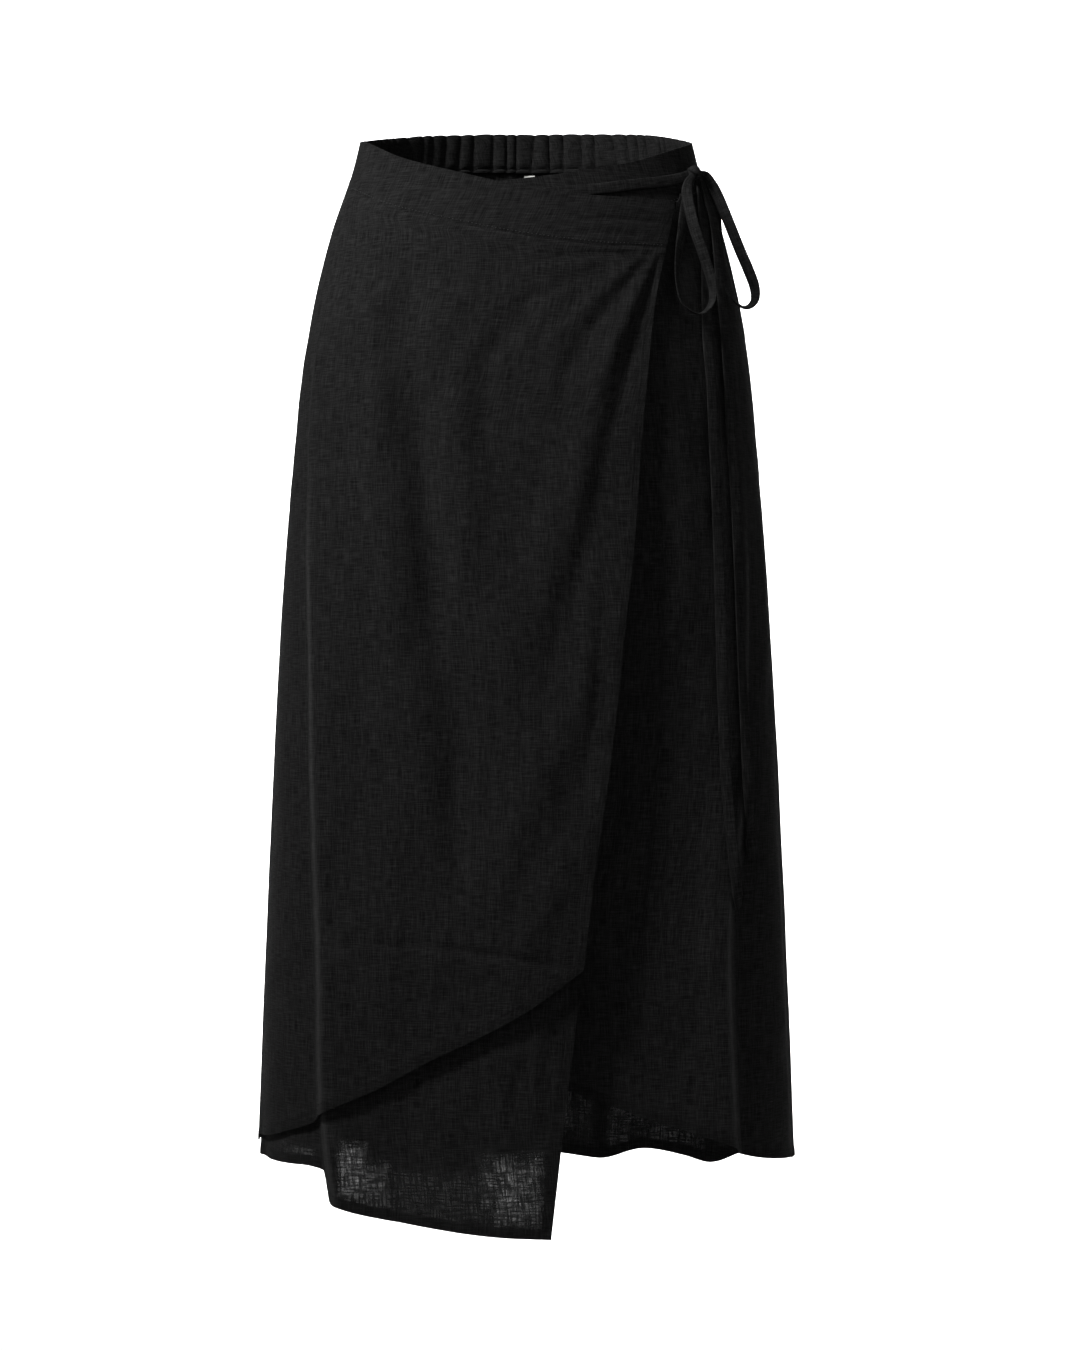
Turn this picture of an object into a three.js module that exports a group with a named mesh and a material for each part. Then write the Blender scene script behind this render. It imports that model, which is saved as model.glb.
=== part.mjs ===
// A wrap skirt with a gathered back waistband and a side bow, filled out as if worn.
// Units are millimetres, +Z is up and the front faces -Y. The origin is in the middle of the waist opening,
// halfway down the waistband at the side seams.
// Angles run round the skirt in degrees: 0 is centre front, 90 the wearer's left side, 180 centre back.

import * as THREE from "three";

// Driving sizes

const CLOTH = 1.3; // one layer of linen as a wall
const BAND_CLOTH = 2.0; // a front waistband, which is two layers and a stiffener
const SEAM_GAP = 0.3; // between pieces that are sewn edge to edge
// From one hanging layer's outer face to the next one's, at the band and low down
const LAYER_PITCH = { top: 1.8, low: 3.4, fromZ: -60, toZ: -480 };
const FRONT_BAND_HEIGHT = 42;
const BACK_BAND_HEIGHT = 34;
const RIGHT_SEAM = -84; // side seam on the wearer's right
const LEFT_SEAM = 77; // side seam on the wearer's left
const BACK_SPAN = 360 + RIGHT_SEAM - LEFT_SEAM;
const SEAM_SETBACK = 0.05; // degrees that a front piece stops short of a side seam
const BACK_SETBACK = 0.0004; // the share of its span that the back stops short of one

const LINEN_COLOUR = 0x1b1c1c;
const LABEL_COLOUR = 0xd8d8d4;

// The skirt's plan section at each height: half its width, its reach forward and back, and how square it is
const SECTIONS = [
  { z: 46, halfWidth: 138, front: 98, back: 100, square: 0 },
  { z: 0, halfWidth: 148.5, front: 101, back: 105, square: 0 },
  { z: -62, halfWidth: 169, front: 108, back: 115, square: 0.01 },
  { z: -130, halfWidth: 185, front: 115, back: 126, square: 0.02 },
  { z: -200, halfWidth: 195, front: 120, back: 132, square: 0.028 },
  { z: -400, halfWidth: 211, front: 130, back: 138, square: 0.036 },
  { z: -620, halfWidth: 221.5, front: 138, back: 143, square: 0.042 },
  { z: -850, halfWidth: 230.5, front: 144, back: 150, square: 0.045 },
  { z: -905, halfWidth: 232, front: 146, back: 152, square: 0.045 },
];

// Top edges: the height at each distance across from the skirt's middle
const OUTER_BAND_TOP = [
  { across: -145, z: 22 },
  { across: -106, z: -1 },
  { across: -56, z: -17 },
  { across: -13, z: -27.5 },
  { across: 29, z: -34 },
  { across: 62, z: -37 },
  { across: 126, z: -37.5 },
];
const INNER_BAND_TOP = [
  { across: -112, z: -29 },
  { across: -45, z: -26.5 },
  { across: -10, z: -23.5 },
  { across: 29, z: -18.5 },
  { across: 62, z: -12.5 },
  { across: 88, z: -7 },
  { across: 112, z: 1.5 },
  { across: 135, z: 12 },
  { across: 144, z: 18 },
];
const BACK_BAND_TOP = [
  { across: -145, z: 22 },
  { across: -138, z: 30 },
  { across: -122, z: 35 },
  { across: 0, z: 44 },
  { across: 60, z: 40.5 },
  { across: 97, z: 36.5 },
  { across: 123, z: 33 },
  { across: 134, z: 30 },
  { across: 144, z: 18 },
];

// Hems, in the same way
const TOP_LAYER_HEM = [
  { across: -230, z: -831 },
  { across: -204, z: -820 },
  { across: -178, z: -810 },
  { across: -163, z: -799.5 },
  { across: -122, z: -779.5 },
  { across: -78, z: -755 },
  { across: -37, z: -735 },
  { across: 4, z: -711.5 },
  { across: 47, z: -680 },
];
const LONG_LAYER_HEM = [
  { across: -230, z: -848 },
  { across: -188, z: -846 },
  { across: -167, z: -849 },
  { across: -163.5, z: -866 },
  { across: -154, z: -877 },
  { across: -88, z: -890.5 },
  { across: -17, z: -899 },
  { across: 21, z: -900.5 },
];
const INNER_PANEL_HEM = [
  { across: -75, z: -735 },
  { across: -20, z: -762 },
  { across: 35, z: -781 },
  { across: 103, z: -805 },
  { across: 173, z: -830 },
  { across: 181, z: -836 },
  { across: 224, z: -847 },
];
const BACK_HEM = [
  { across: -229, z: -836 },
  { across: -150, z: -858 },
  { across: -60, z: -870 },
  { across: 0, z: -870 },
  { across: 66, z: -873.5 },
  { across: 105, z: -864.5 },
  { across: 138, z: -871 },
  { across: 162, z: -875.5 },
  { across: 200, z: -861 },
  { across: 228, z: -848 },
];

// Free edges: how far across the edge stands at each height
const OUTER_FREE_EDGE = [
  { z: -37, across: 126 },
  { z: -72, across: 119.5 },
  { z: -124, across: 108 },
  { z: -209, across: 99 },
  { z: -326, across: 89.5 },
  { z: -392, across: 82 },
  { z: -507, across: 69.5 },
  { z: -606, across: 55.5 },
  { z: -680, across: 47 },
  { z: -778, across: 35 },
  { z: -901, across: 21 },
];
const INNER_FREE_EDGE = [
  { z: -28, across: -112 },
  { z: -400, across: -92 },
  { z: -730, across: -75 },
];

// The two long folds that turn the front to the sides: where each stands and how far it stands out.
// Each falls away steeply towards its side seam and gently towards the front.
const FOLD_STEEP_SIDE = 2.4; // degrees
const FOLD_GENTLE_SIDE = 9;
const FOLD_TO_SEAM = 9; // the nearest that a fold comes to its seam
const RIGHT_SIDE_FOLD = [
  { z: -60, across: -160, height: 0 },
  { z: -150, across: -172, height: 1.5 },
  { z: -241, across: -179, height: 3 },
  { z: -458, across: -175, height: 7 },
  { z: -608, across: -170, height: 9.5 },
  { z: -707, across: -166, height: 11 },
  { z: -800, across: -164, height: 12.5 },
  { z: -868, across: -156, height: 14 },
];
const LEFT_SIDE_FOLD = [
  { z: -120, across: 172, height: 0 },
  { z: -373, across: 186.5, height: 4 },
  { z: -458, across: 184, height: 5.5 },
  { z: -524, across: 181, height: 6.5 },
  { z: -582, across: 176.5, height: 7.5 },
  { z: -632, across: 171, height: 8 },
  { z: -674, across: 169.5, height: 9 },
  { z: -748, across: 171, height: 10 },
  { z: -830, across: 173.5, height: 12 },
];

// Soft folds of the outer layers: each runs down from one point to another, most of them from the tied corner,
// and its two flanks, towards the wearer's right and left, have their own widths in degrees
const DRAPE_FOLDS = [
  { fromZ: -90, fromAcross: -136, toZ: -740, toAcross: -36, height: 6.4, rightFlank: 8, leftFlank: 4.5 },
  { fromZ: -60, fromAcross: -92, toZ: -480, toAcross: -22, height: 4, rightFlank: 5, leftFlank: 6 },
  { fromZ: -48, fromAcross: 110, toZ: -570, toAcross: -44, height: 6.4, rightFlank: 8, leftFlank: 4.5 },
  { fromZ: -340, fromAcross: 86, toZ: -720, toAcross: -66, height: 5.4, rightFlank: 6, leftFlank: 4.5 },
  { fromZ: -490, fromAcross: 68, toZ: -790, toAcross: -54, height: 4.2, rightFlank: 5.5, leftFlank: 4.5 },
  { fromZ: -460, fromAcross: -112, toZ: -880, toAcross: -118, height: 3.4, rightFlank: 6, leftFlank: 6 },
  { fromZ: -600, fromAcross: 16, toZ: -900, toAcross: -30, height: 3.6, rightFlank: 5, leftFlank: 5 },
];

// The wrap's two outer layers stand off the panel below more and more towards the hem, over these heights,
// and towards the free edge, over these shares of the way there
const OUTER_LIFT = { height: 13, fromZ: -60, toZ: -760, fromShare: 0.35, toShare: 1 };
const LONG_LAYER_GAP = { height: 3.5, fromZ: -300, toZ: -760, fromShare: 0.3, toShare: 0.7 };

// How far the inner panel lies below the outer layers, and the angles over which its own side fold begins
const INNER_SAG = { height: 9, fromZ: -150, toZ: -700 };
const INNER_CLEARANCE = 1;
const INNER_FOLD_START = { from: -30, to: 20 };
const INNER_LEVEL = 2; // degrees before its seam from which it is level with the back

// Gathers of the back waistband: how deep and how full each is, how far its crease dips at the top edge, how
// thick the band is in it, how much deeper it is inside, and the share of the span over which they begin
const BAND_GATHERS = { count: 34, depth: 0.8, fullness: 0.7, dip: 0.8, crease: 1.4, inside: 2, ease: 0.03 };
const COLUMNS_PER_GATHER = 5;

// Gathers of the back panel, which fade down to a height, and its waves, which grow down to the hem.
// Both drift to and fro by so much of a turn, so many times round, and the waves are uneven in the same way.
const PANEL_GATHERS = { count: 17, depth: 2.6, fromZ: 20, toZ: -230 };
const BACK_WAVES = { count: 5.85, depth: 11, fromZ: -90, toZ: -860 };
const WAVE_DRIFT = { amount: 0.5, times: 2, start: 0.15 };
const WAVE_UNEVENNESS = { amount: 0.3, times: 1.7, start: 0.3 };
const PANEL_EASE = 0.06; // the share of the span over which they begin at a seam
const BACK_ROWS = { count: 10, crowding: 1.25 }; // closest together at the gathers
const BACK_COLUMNS = 102;

// The tie straps, and how much of the section is cut off at a corner, down its edge and along its face
const STRAP_WIDTH = 9.5;
const STRAP_THICKNESS = 1.8;
const STRAP_CORNER = { edge: 0.3, face: 0.12 };
const STRAP_BED_START = 42; // the angle up to which the inner waistband leaves the strap its full room

// The strap on the inner waistband, by the angle round the waist, and how far its middle stands off the band
const WAIST_STRAP = [
  { angle: 4, z: -37, lift: 1.2 },
  { angle: 10, z: -34.5, lift: 1.2 },
  { angle: 23, z: -31, lift: 1.2 },
  { angle: 34, z: -26.5, lift: 1.2 },
  { angle: 47, z: -22, lift: 1.2 },
  { angle: 57, z: -18, lift: 2.6 },
  { angle: 62.95, z: -15, lift: 5.3 },
];

// The corner strap's stops: degrees past the band's free edge, height and distance off the inner waistband
const CORNER_STRAP = [
  { turn: 1.34, z: -43, standOff: 3.6 },
  { turn: 2.6, z: -43, standOff: 3.4 },
  { turn: 4.4, z: -41, standOff: 3.4 },
  { turn: 6.2, z: -37.5, standOff: 2.9 },
  { turn: 7.8, z: -33, standOff: 2.6 },
];

// The bow's knot and loops. A loop's stops run from the knot and back to it, and its turn is how far the
// strap's face is turned from facing out to facing away from the loop's middle, in degrees.
const KNOT = { x: 145.5, y: -47, z: -11.5, across: 13, deep: 11, high: 13 };
const KNOT_GROOVE = { depth: 0.16, width: 0.16, place: -0.15, slantAcross: 0.5, slantUp: 0.86 };
const LOOP_STEPS = 28;
const LOOP_FACING = { x: 0.25, y: -1 };
const FRONT_LOOP = [
  { x: 140, y: -58, z: -21, turn: 0 },
  { x: 138.5, y: -62.5, z: -31, turn: 0 },
  { x: 140.5, y: -70, z: -55, turn: 0 },
  { x: 147.5, y: -71, z: -76, turn: 0 },
  { x: 153.5, y: -71.5, z: -93, turn: 28 },
  { x: 157, y: -73.5, z: -110, turn: 54 },
  { x: 158, y: -75.5, z: -121, turn: 75 },
  { x: 154.5, y: -81, z: -131, turn: 80 },
  { x: 145.5, y: -88, z: -137.5, turn: 80 },
  { x: 137, y: -92.5, z: -134.5, turn: 80 },
  { x: 129.5, y: -94.5, z: -124, turn: 70 },
  { x: 127, y: -92.5, z: -109.5, turn: 58 },
  { x: 127, y: -88, z: -94, turn: 54 },
  { x: 129, y: -80, z: -72.5, turn: 44 },
  { x: 133.5, y: -71, z: -49.5, turn: 20 },
  { x: 136.5, y: -61.5, z: -33, turn: 10 },
  { x: 139, y: -53, z: -22, turn: 10 },
];
const SIDE_LOOP = [
  { x: 153, y: -42.5, z: -12, turn: 32 },
  { x: 157, y: -42, z: -17.5, turn: 32 },
  { x: 163.5, y: -43, z: -30.5, turn: 32 },
  { x: 172, y: -45, z: -51.5, turn: 32 },
  { x: 181, y: -47, z: -74.5, turn: 32 },
  { x: 189.5, y: -49, z: -95, turn: 36 },
  { x: 194, y: -50, z: -108, turn: 40 },
  { x: 194.5, y: -51, z: -118.5, turn: 48 },
  { x: 190.5, y: -52, z: -124.5, turn: 54 },
  { x: 184.5, y: -53, z: -126, turn: 54 },
  { x: 177.5, y: -53, z: -121, turn: 52 },
  { x: 171.5, y: -53, z: -112, turn: 48 },
  { x: 168.5, y: -52, z: -100.5, turn: 45 },
  { x: 166, y: -49, z: -84, turn: 45 },
  { x: 164.5, y: -43, z: -64, turn: 40 },
  { x: 163, y: -34, z: -45, turn: 30 },
  { x: 160, y: -32, z: -31, turn: 15 },
  { x: 155.5, y: -35, z: -20, turn: 10 },
];

// The two tie ends that hang from the knot: how far each stands off the front and how far it is twisted, in
// degrees
const LONG_TIE_END = [
  { z: -21, across: 147, lift: 3, twist: 0 },
  { z: -42, across: 149.5, lift: 3.4, twist: 0 },
  { z: -78, across: 152, lift: 3.6, twist: 0 },
  { z: -146, across: 152.5, lift: 3.4, twist: 0 },
  { z: -200, across: 156, lift: 6, twist: 52 },
  { z: -240, across: 157.5, lift: 6.5, twist: 66 },
  { z: -268, across: 158.8, lift: 6, twist: 45 },
  { z: -320, across: 161, lift: 5, twist: 4 },
  { z: -391, across: 163, lift: 5.5, twist: 28 },
  { z: -430, across: 163.7, lift: 6.5, twist: 56 },
  { z: -470, across: 165, lift: 5.5, twist: 15 },
  { z: -520, across: 167, lift: 5, twist: 5 },
  { z: -580, across: 172, lift: 6, twist: 48 },
  { z: -612, across: 175.5, lift: 5, twist: 10 },
  { z: -631, across: 177.5, lift: 4, twist: 0 },
];
const SHORT_TIE_END = [
  { z: -18.5, across: 149.5, lift: 7.5, twist: 0 },
  { z: -58, across: 160, lift: 9, twist: 40 },
  { z: -108, across: 164, lift: 9.5, twist: 35 },
  { z: -156, across: 168, lift: 7, twist: 30 },
  { z: -199, across: 170.8, lift: 6, twist: 50 },
  { z: -240, across: 173, lift: 6, twist: 62 },
  { z: -277, across: 175.7, lift: 5.5, twist: 40 },
  { z: -316, across: 177.3, lift: 6.5, twist: 66 },
  { z: -363, across: 178.7, lift: 5, twist: 0 },
  { z: -420, across: 180.5, lift: 6.5, twist: 54 },
  { z: -475, across: 183, lift: 5, twist: 10 },
  { z: -538, across: 186, lift: 6.5, twist: 70 },
  { z: -573, across: 188.5, lift: 5.5, twist: 25 },
  { z: -591, across: 190, lift: 5, twist: 0 },
];
const TIE_END_STEPS = 30;
const TIE_END_REACH = { from: 0, to: 89 }; // angles between which the tie ends hang
const TIE_HEM = { length: 14, widen: 1.22, thicken: 1.4 };
const KNOT_PINCH = { length: 26, widen: 0.58, thicken: 1.5 };

const LABEL = { across: 5, width: 11, top: 9.5, length: 24, thickness: 1 };

const HALVINGS = 24; // of a range of angles, to find a place
const PASSES = 8; // to settle a height and an angle that depend on each other
const SIDE_TURN = 0.25; // degrees to each side of a point that give the way round the skirt

const clamp = (value, low, high) => Math.min(high, Math.max(low, value));
const mix = (a, b, share) => a + (b - a) * share;
const radians = THREE.MathUtils.degToRad;

// 0 before low, 1 after high and smooth between them.
const ease = (value, low, high) => THREE.MathUtils.smoothstep(value, low, high);

// The share of a change that has been made at a height, for one that runs down from fromZ to toZ.
const grown = ({ fromZ, toZ }, z) => ease(-z, -fromZ, -toZ);

// The value of one column of a table at a place along another, on a smooth curve that doesn't overshoot.
function lookUp(table, key, at, column) {
  const rows = table[0][key] < table.at(-1)[key] ? table : [...table].reverse();
  const x = clamp(at, rows[0][key], rows.at(-1)[key]);
  const last = rows.length - 2;
  const i = clamp(rows.filter((row) => row[key] <= x).length - 1, 0, last);
  const step = (k) => {
    const j = clamp(k, 0, last);
    return (rows[j + 1][column] - rows[j][column]) / (rows[j + 1][key] - rows[j][key]);
  };
  const tangent = (k) => {
    const before = step(k - 1);
    const after = step(k);
    return before * after <= 0 ? 0 : (2 * before * after) / (before + after);
  };
  const start = i === 0 ? step(0) : tangent(i);
  const end = i === last ? step(last) : tangent(i + 1);
  const span = rows[i + 1][key] - rows[i][key];
  const t = (x - rows[i][key]) / span;
  const a = rows[i][column];
  const b = rows[i + 1][column];
  return (
    a * (2 * t ** 3 - 3 * t ** 2 + 1) +
    b * (3 * t ** 2 - 2 * t ** 3) +
    span * (start * (t ** 3 - 2 * t ** 2 + t) + end * (t ** 3 - t ** 2))
  );
}

const sectionCache = new Map();

// The section's sizes at a height.
function sectionAt(z) {
  const key = z.toFixed(3);
  if (!sectionCache.has(key)) {
    const column = (name) => lookUp(SECTIONS, "z", z, name);
    sectionCache.set(key, {
      halfWidth: column("halfWidth"),
      front: column("front"),
      back: column("back"),
      square: column("square"),
    });
  }
  return sectionCache.get(key);
}

// The point of the smooth skirt, without folds, at an angle round it and a height.
function smoothPoint(angle, z) {
  const { halfWidth, front, back, square } = sectionAt(z);
  const t = radians(angle);
  const across = (Math.sin(t) + square * Math.sin(3 * t)) / (1 - square);
  const forward = (Math.cos(t) - square * Math.cos(3 * t)) / (1 - square);
  return new THREE.Vector2(halfWidth * across, -(forward > 0 ? front : back) * forward);
}

// The angle on the front half at which the skirt stands that far across.
function frontAngle(across, z) {
  let low = -90;
  let high = 90;
  for (let i = 0; i < HALVINGS; i++) {
    const middle = (low + high) / 2;
    if (smoothPoint(middle, z).x < across) low = middle;
    else high = middle;
  }
  return (low + high) / 2;
}

// A fold's height at an angle, with its own width on each side of the crest.
function crest(angle, centre, below, above) {
  const width = angle < centre ? below : above;
  return Math.exp(-(((angle - centre) / width) ** 2));
}

// The angle of a side fold's crest, which stays clear of the side seams.
function crestAngle(table, z) {
  const angle = frontAngle(lookUp(table, "z", z, "across"), z);
  return clamp(angle, RIGHT_SEAM + FOLD_TO_SEAM, LEFT_SEAM - FOLD_TO_SEAM);
}

// The relief of the two long side folds.
function sideFolds(angle, z) {
  const right = crestAngle(RIGHT_SIDE_FOLD, z);
  const left = crestAngle(LEFT_SIDE_FOLD, z);
  return (
    lookUp(RIGHT_SIDE_FOLD, "z", z, "height") * crest(angle, right, FOLD_STEEP_SIDE, FOLD_GENTLE_SIDE) +
    lookUp(LEFT_SIDE_FOLD, "z", z, "height") * crest(angle, left, FOLD_GENTLE_SIDE, FOLD_STEEP_SIDE)
  );
}

// The relief of the soft folds that hang from the tied corner.
function drapeFolds(angle, z) {
  return DRAPE_FOLDS.reduce((sum, fold) => {
    const share = (z - fold.fromZ) / (fold.toZ - fold.fromZ);
    if (share < 0 || share > 1) return sum;
    const centre = frontAngle(mix(fold.fromAcross, fold.toAcross, share), z);
    const height = fold.height * Math.sin(Math.PI * share) ** 2;
    return sum + height * crest(angle, centre, fold.rightFlank, fold.leftFlank);
  }, 0);
}

// The back's own folds: gathers below the elastic that fade, and waves that grow towards the hem.
function backFolds(angle, z) {
  const share = (angle - LEFT_SEAM) / BACK_SPAN;
  if (share <= 0 || share >= 1) return 0;
  const atSeams = ease(share, 0, PANEL_EASE) * ease(1 - share, 0, PANEL_EASE);
  const turns = (times, start = 0) => 2 * Math.PI * (times * share + start);
  const drift = WAVE_DRIFT.amount * Math.sin(turns(WAVE_DRIFT.times, WAVE_DRIFT.start));
  const gatherDepth = PANEL_GATHERS.depth * (1 - grown(PANEL_GATHERS, z));
  const gathers = gatherDepth * Math.cos(turns(PANEL_GATHERS.count) + 2 * drift);
  const uneven = 1 + WAVE_UNEVENNESS.amount * Math.sin(turns(WAVE_UNEVENNESS.times, WAVE_UNEVENNESS.start));
  const waveDepth = BACK_WAVES.depth * uneven * grown(BACK_WAVES, z);
  const waves = waveDepth * Math.cos(turns(BACK_WAVES.count) + drift);
  return atSeams * (gathers + waves);
}

// A surface is a function of angle and height that gives how far the cloth's outer face stands off the smooth
// skirt. Its points are pushed straight out of the smooth section, and each piece's wall is set in from them.
function surfacePoint(surface, angle, z, inset = 0) {
  const folded = (at) => {
    const p = smoothPoint(at, z);
    const along = smoothPoint(at + SIDE_TURN, z).sub(smoothPoint(at - SIDE_TURN, z)).normalize();
    return p.add(new THREE.Vector2(along.y, -along.x).multiplyScalar(surface(at, z)));
  };
  const point = folded(angle);
  const along = folded(angle + SIDE_TURN).sub(folded(angle - SIDE_TURN)).normalize();
  return new THREE.Vector3(point.x - along.y * inset, point.y + along.x * inset, z);
}

const freeEdgeAngle = (table) => (z) => frontAngle(lookUp(table, "z", z, "across"), z);
const outerFreeEdge = freeEdgeAngle(OUTER_FREE_EDGE);

// How far a layer stands off the one below, where it does so more and more towards the hem and the free edge.
function standOff(growth, angle, z) {
  const share = (angle - RIGHT_SEAM) / (outerFreeEdge(z) - RIGHT_SEAM);
  return growth.height * grown(growth, z) * ease(share, growth.fromShare, growth.toShare);
}

const layerPitch = (z) => mix(LAYER_PITCH.top, LAYER_PITCH.low, grown(LAYER_PITCH, z));

const topLayerSurface = (angle, z) =>
  sideFolds(angle, z) + drapeFolds(angle, z) + standOff(OUTER_LIFT, angle, z);

const longLayerSurface = (angle, z) =>
  topLayerSurface(angle, z) - layerPitch(z) - standOff(LONG_LAYER_GAP, angle, z);

// The inner panel starts level with the back at its seam and passes under the outer layers.
const innerPanelSurface = (angle, z) => {
  const under = 1 - ease(angle, outerFreeEdge(z), LEFT_SEAM - INNER_LEVEL);
  const below = 2 * layerPitch(z) + INNER_CLEARANCE + INNER_SAG.height * grown(INNER_SAG, z);
  const folds = sideFolds(angle, z) * ease(angle, INNER_FOLD_START.from, INNER_FOLD_START.to);
  return folds - under * below;
};

// The inner waistband lies back behind the outer one by its own cloth and the strap between them.
const STRAP_BED = BAND_CLOTH + STRAP_THICKNESS + 4 * SEAM_GAP;
const outerBandSurface = () => 0;
const innerBandSurface = (angle) => -STRAP_BED * (1 - ease(angle, STRAP_BED_START, LEFT_SEAM));

// Walls

// A closed wall from a grid of points: place(i, j, inner) gives the point of column i and row j on a face.
// Columns run round the skirt as the angle grows and rows run down.
function wallGeometry(columns, rows, place) {
  const positions = [];
  const index = [];
  const faceSize = (columns + 1) * (rows + 1);
  for (const inner of [false, true])
    for (let i = 0; i <= columns; i++)
      for (let j = 0; j <= rows; j++) positions.push(...place(i, j, inner).toArray());
  const at = (i, j, inner) => (inner ? faceSize : 0) + i * (rows + 1) + j;
  const quad = (a, b, c, d) => index.push(a, b, c, a, c, d);
  for (let i = 0; i < columns; i++)
    for (let j = 0; j < rows; j++) {
      quad(at(i, j), at(i, j + 1), at(i + 1, j + 1), at(i + 1, j));
      quad(at(i, j, true), at(i + 1, j, true), at(i + 1, j + 1, true), at(i, j + 1, true));
    }
  for (let i = 0; i < columns; i++) {
    quad(at(i, 0), at(i + 1, 0), at(i + 1, 0, true), at(i, 0, true));
    quad(at(i, rows), at(i, rows, true), at(i + 1, rows, true), at(i + 1, rows));
  }
  for (let j = 0; j < rows; j++) {
    quad(at(0, j), at(0, j, true), at(0, j + 1, true), at(0, j + 1));
    quad(at(columns, j), at(columns, j + 1), at(columns, j + 1, true), at(columns, j, true));
  }
  const geometry = new THREE.BufferGeometry();
  geometry.setAttribute("position", new THREE.Float32BufferAttribute(positions, 3));
  geometry.setIndex(index);
  geometry.computeVertexNormals();
  return geometry;
}

// The height at an angle of an edge whose table gives it by distance across.
function edgeHeight(table, angle) {
  let z = table[0].z;
  for (let i = 0; i < PASSES; i++) z = lookUp(table, "across", smoothPoint(angle, z).x, "z");
  return z;
}

// The angle of a panel's column at a height. One column runs down the crest of the panel's long fold.
function columnAngle(panel, share, z) {
  if (!panel.fold) return mix(panel.from(z), panel.to(z), share);
  const crestAt = crestAngle(panel.fold.table, z);
  const { share: at } = panel.fold;
  if (share < at) return mix(panel.from(z), crestAt, share / at);
  return mix(crestAt, panel.to(z), (share - at) / (1 - at));
}

// The height at which a panel's column meets an edge that is given by angle.
function columnEnd(panel, share, heightAt) {
  let z = heightAt(0);
  for (let i = 0; i < PASSES; i++) z = heightAt(columnAngle(panel, share, z));
  return z;
}

// A panel's wall between its two side edges, its top and its hem.
function panelGeometry(panel) {
  const { shares, rows } = panel;
  const top = shares.map((share) => columnEnd(panel, share, panel.top));
  const bottom = shares.map((share) => columnEnd(panel, share, panel.bottom));
  return wallGeometry(shares.length - 1, rows, (i, j, inner) => {
    const share = shares[i];
    const z = mix(top[i], bottom[i], j / rows);
    return surfacePoint(panel.surface, columnAngle(panel, share, z), z, inner ? panel.thickness : 0);
  });
}

// Shares of the way round a panel, from 0 to 1: a few even steps from each mark to the next.
function sharesBetween(marks) {
  return marks.flatMap(({ at, steps }, k) => {
    const next = marks[k + 1];
    return next ? Array.from({ length: steps }, (_, i) => mix(at, next.at, i / steps)) : [at];
  });
}

const rightSeam = () => RIGHT_SEAM + SEAM_SETBACK;
const leftSeam = () => LEFT_SEAM - SEAM_SETBACK;

// A front waistband: its two side edges, its top edge and its surface.
function bandPanel(from, to, topTable, surface) {
  return {
    from,
    to,
    surface,
    thickness: BAND_CLOTH,
    shares: sharesBetween([{ at: 0, steps: 28 }, { at: 1 }]),
    rows: 3,
    top: (angle) => edgeHeight(topTable, angle),
    bottom: (angle) => edgeHeight(topTable, angle) - FRONT_BAND_HEIGHT,
  };
}

const outerBand = bandPanel(rightSeam, outerFreeEdge, OUTER_BAND_TOP, outerBandSurface);
const innerBand = bandPanel(freeEdgeAngle(INNER_FREE_EDGE), leftSeam, INNER_BAND_TOP, innerBandSurface);

// A panel that hangs from a band, down to its hem.
function hangingPanel(band, hem, surface, details) {
  return {
    from: band.from,
    to: band.to,
    surface,
    thickness: CLOTH,
    top: (angle) => band.bottom(angle) - SEAM_GAP,
    bottom: (angle) => edgeHeight(hem, angle),
    ...details,
  };
}

// The columns of the outer layers and of the inner panel, closest together at the steep side of the fold
const OUTER_FOLD = { table: RIGHT_SIDE_FOLD, share: 0.36 };
const OUTER_SHARES = sharesBetween([
  { at: 0, steps: 7 },
  { at: 0.27, steps: 6 },
  { at: 0.36, steps: 11 },
  { at: 0.6, steps: 20 },
  { at: 1 },
]);
const INNER_FOLD = { table: LEFT_SIDE_FOLD, share: 0.78 };
const INNER_SHARES = sharesBetween([
  { at: 0, steps: 14 },
  { at: 0.62, steps: 7 },
  { at: 0.78, steps: 5 },
  { at: 0.86, steps: 5 },
  { at: 1 },
]);
const outerDetails = { shares: OUTER_SHARES, fold: OUTER_FOLD, rows: 11 };

const topLayer = hangingPanel(outerBand, TOP_LAYER_HEM, topLayerSurface, outerDetails);
const longLayer = hangingPanel(outerBand, LONG_LAYER_HEM, longLayerSurface, outerDetails);
const innerPanel = hangingPanel(innerBand, INNER_PANEL_HEM, innerPanelSurface, {
  shares: INNER_SHARES,
  fold: INNER_FOLD,
  rows: 10,
});

// The back panel and its gathered band

// The share of the way round the back, and the angle, of one of its columns.
function backColumn(i, columns) {
  const share = clamp(i / columns, BACK_SETBACK, 1 - BACK_SETBACK);
  return { share, angle: LEFT_SEAM + BACK_SPAN * share };
}

const backBandTop = (angle) => lookUp(BACK_BAND_TOP, "across", smoothPoint(angle, 0).x, "z");

function backBandGeometry() {
  const rows = 2;
  const { count, depth, fullness, dip, crease, inside, ease: margin } = BAND_GATHERS;
  const columns = count * COLUMNS_PER_GATHER;
  return wallGeometry(columns, rows, (i, j, inner) => {
    const { share, angle } = backColumn(i, columns);
    const top = backBandTop(angle);
    const full = Math.abs(Math.sin(Math.PI * count * share)) ** fullness;
    const swell = depth * full * ease(share, 0, margin) * ease(1 - share, 0, margin);
    const z = mix(top - (1 - full) * dip, top - BACK_BAND_HEIGHT + SEAM_GAP / 2, j / rows);
    return surfacePoint(() => swell - depth, angle, z, inner ? crease + inside * swell : 0);
  });
}

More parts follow.
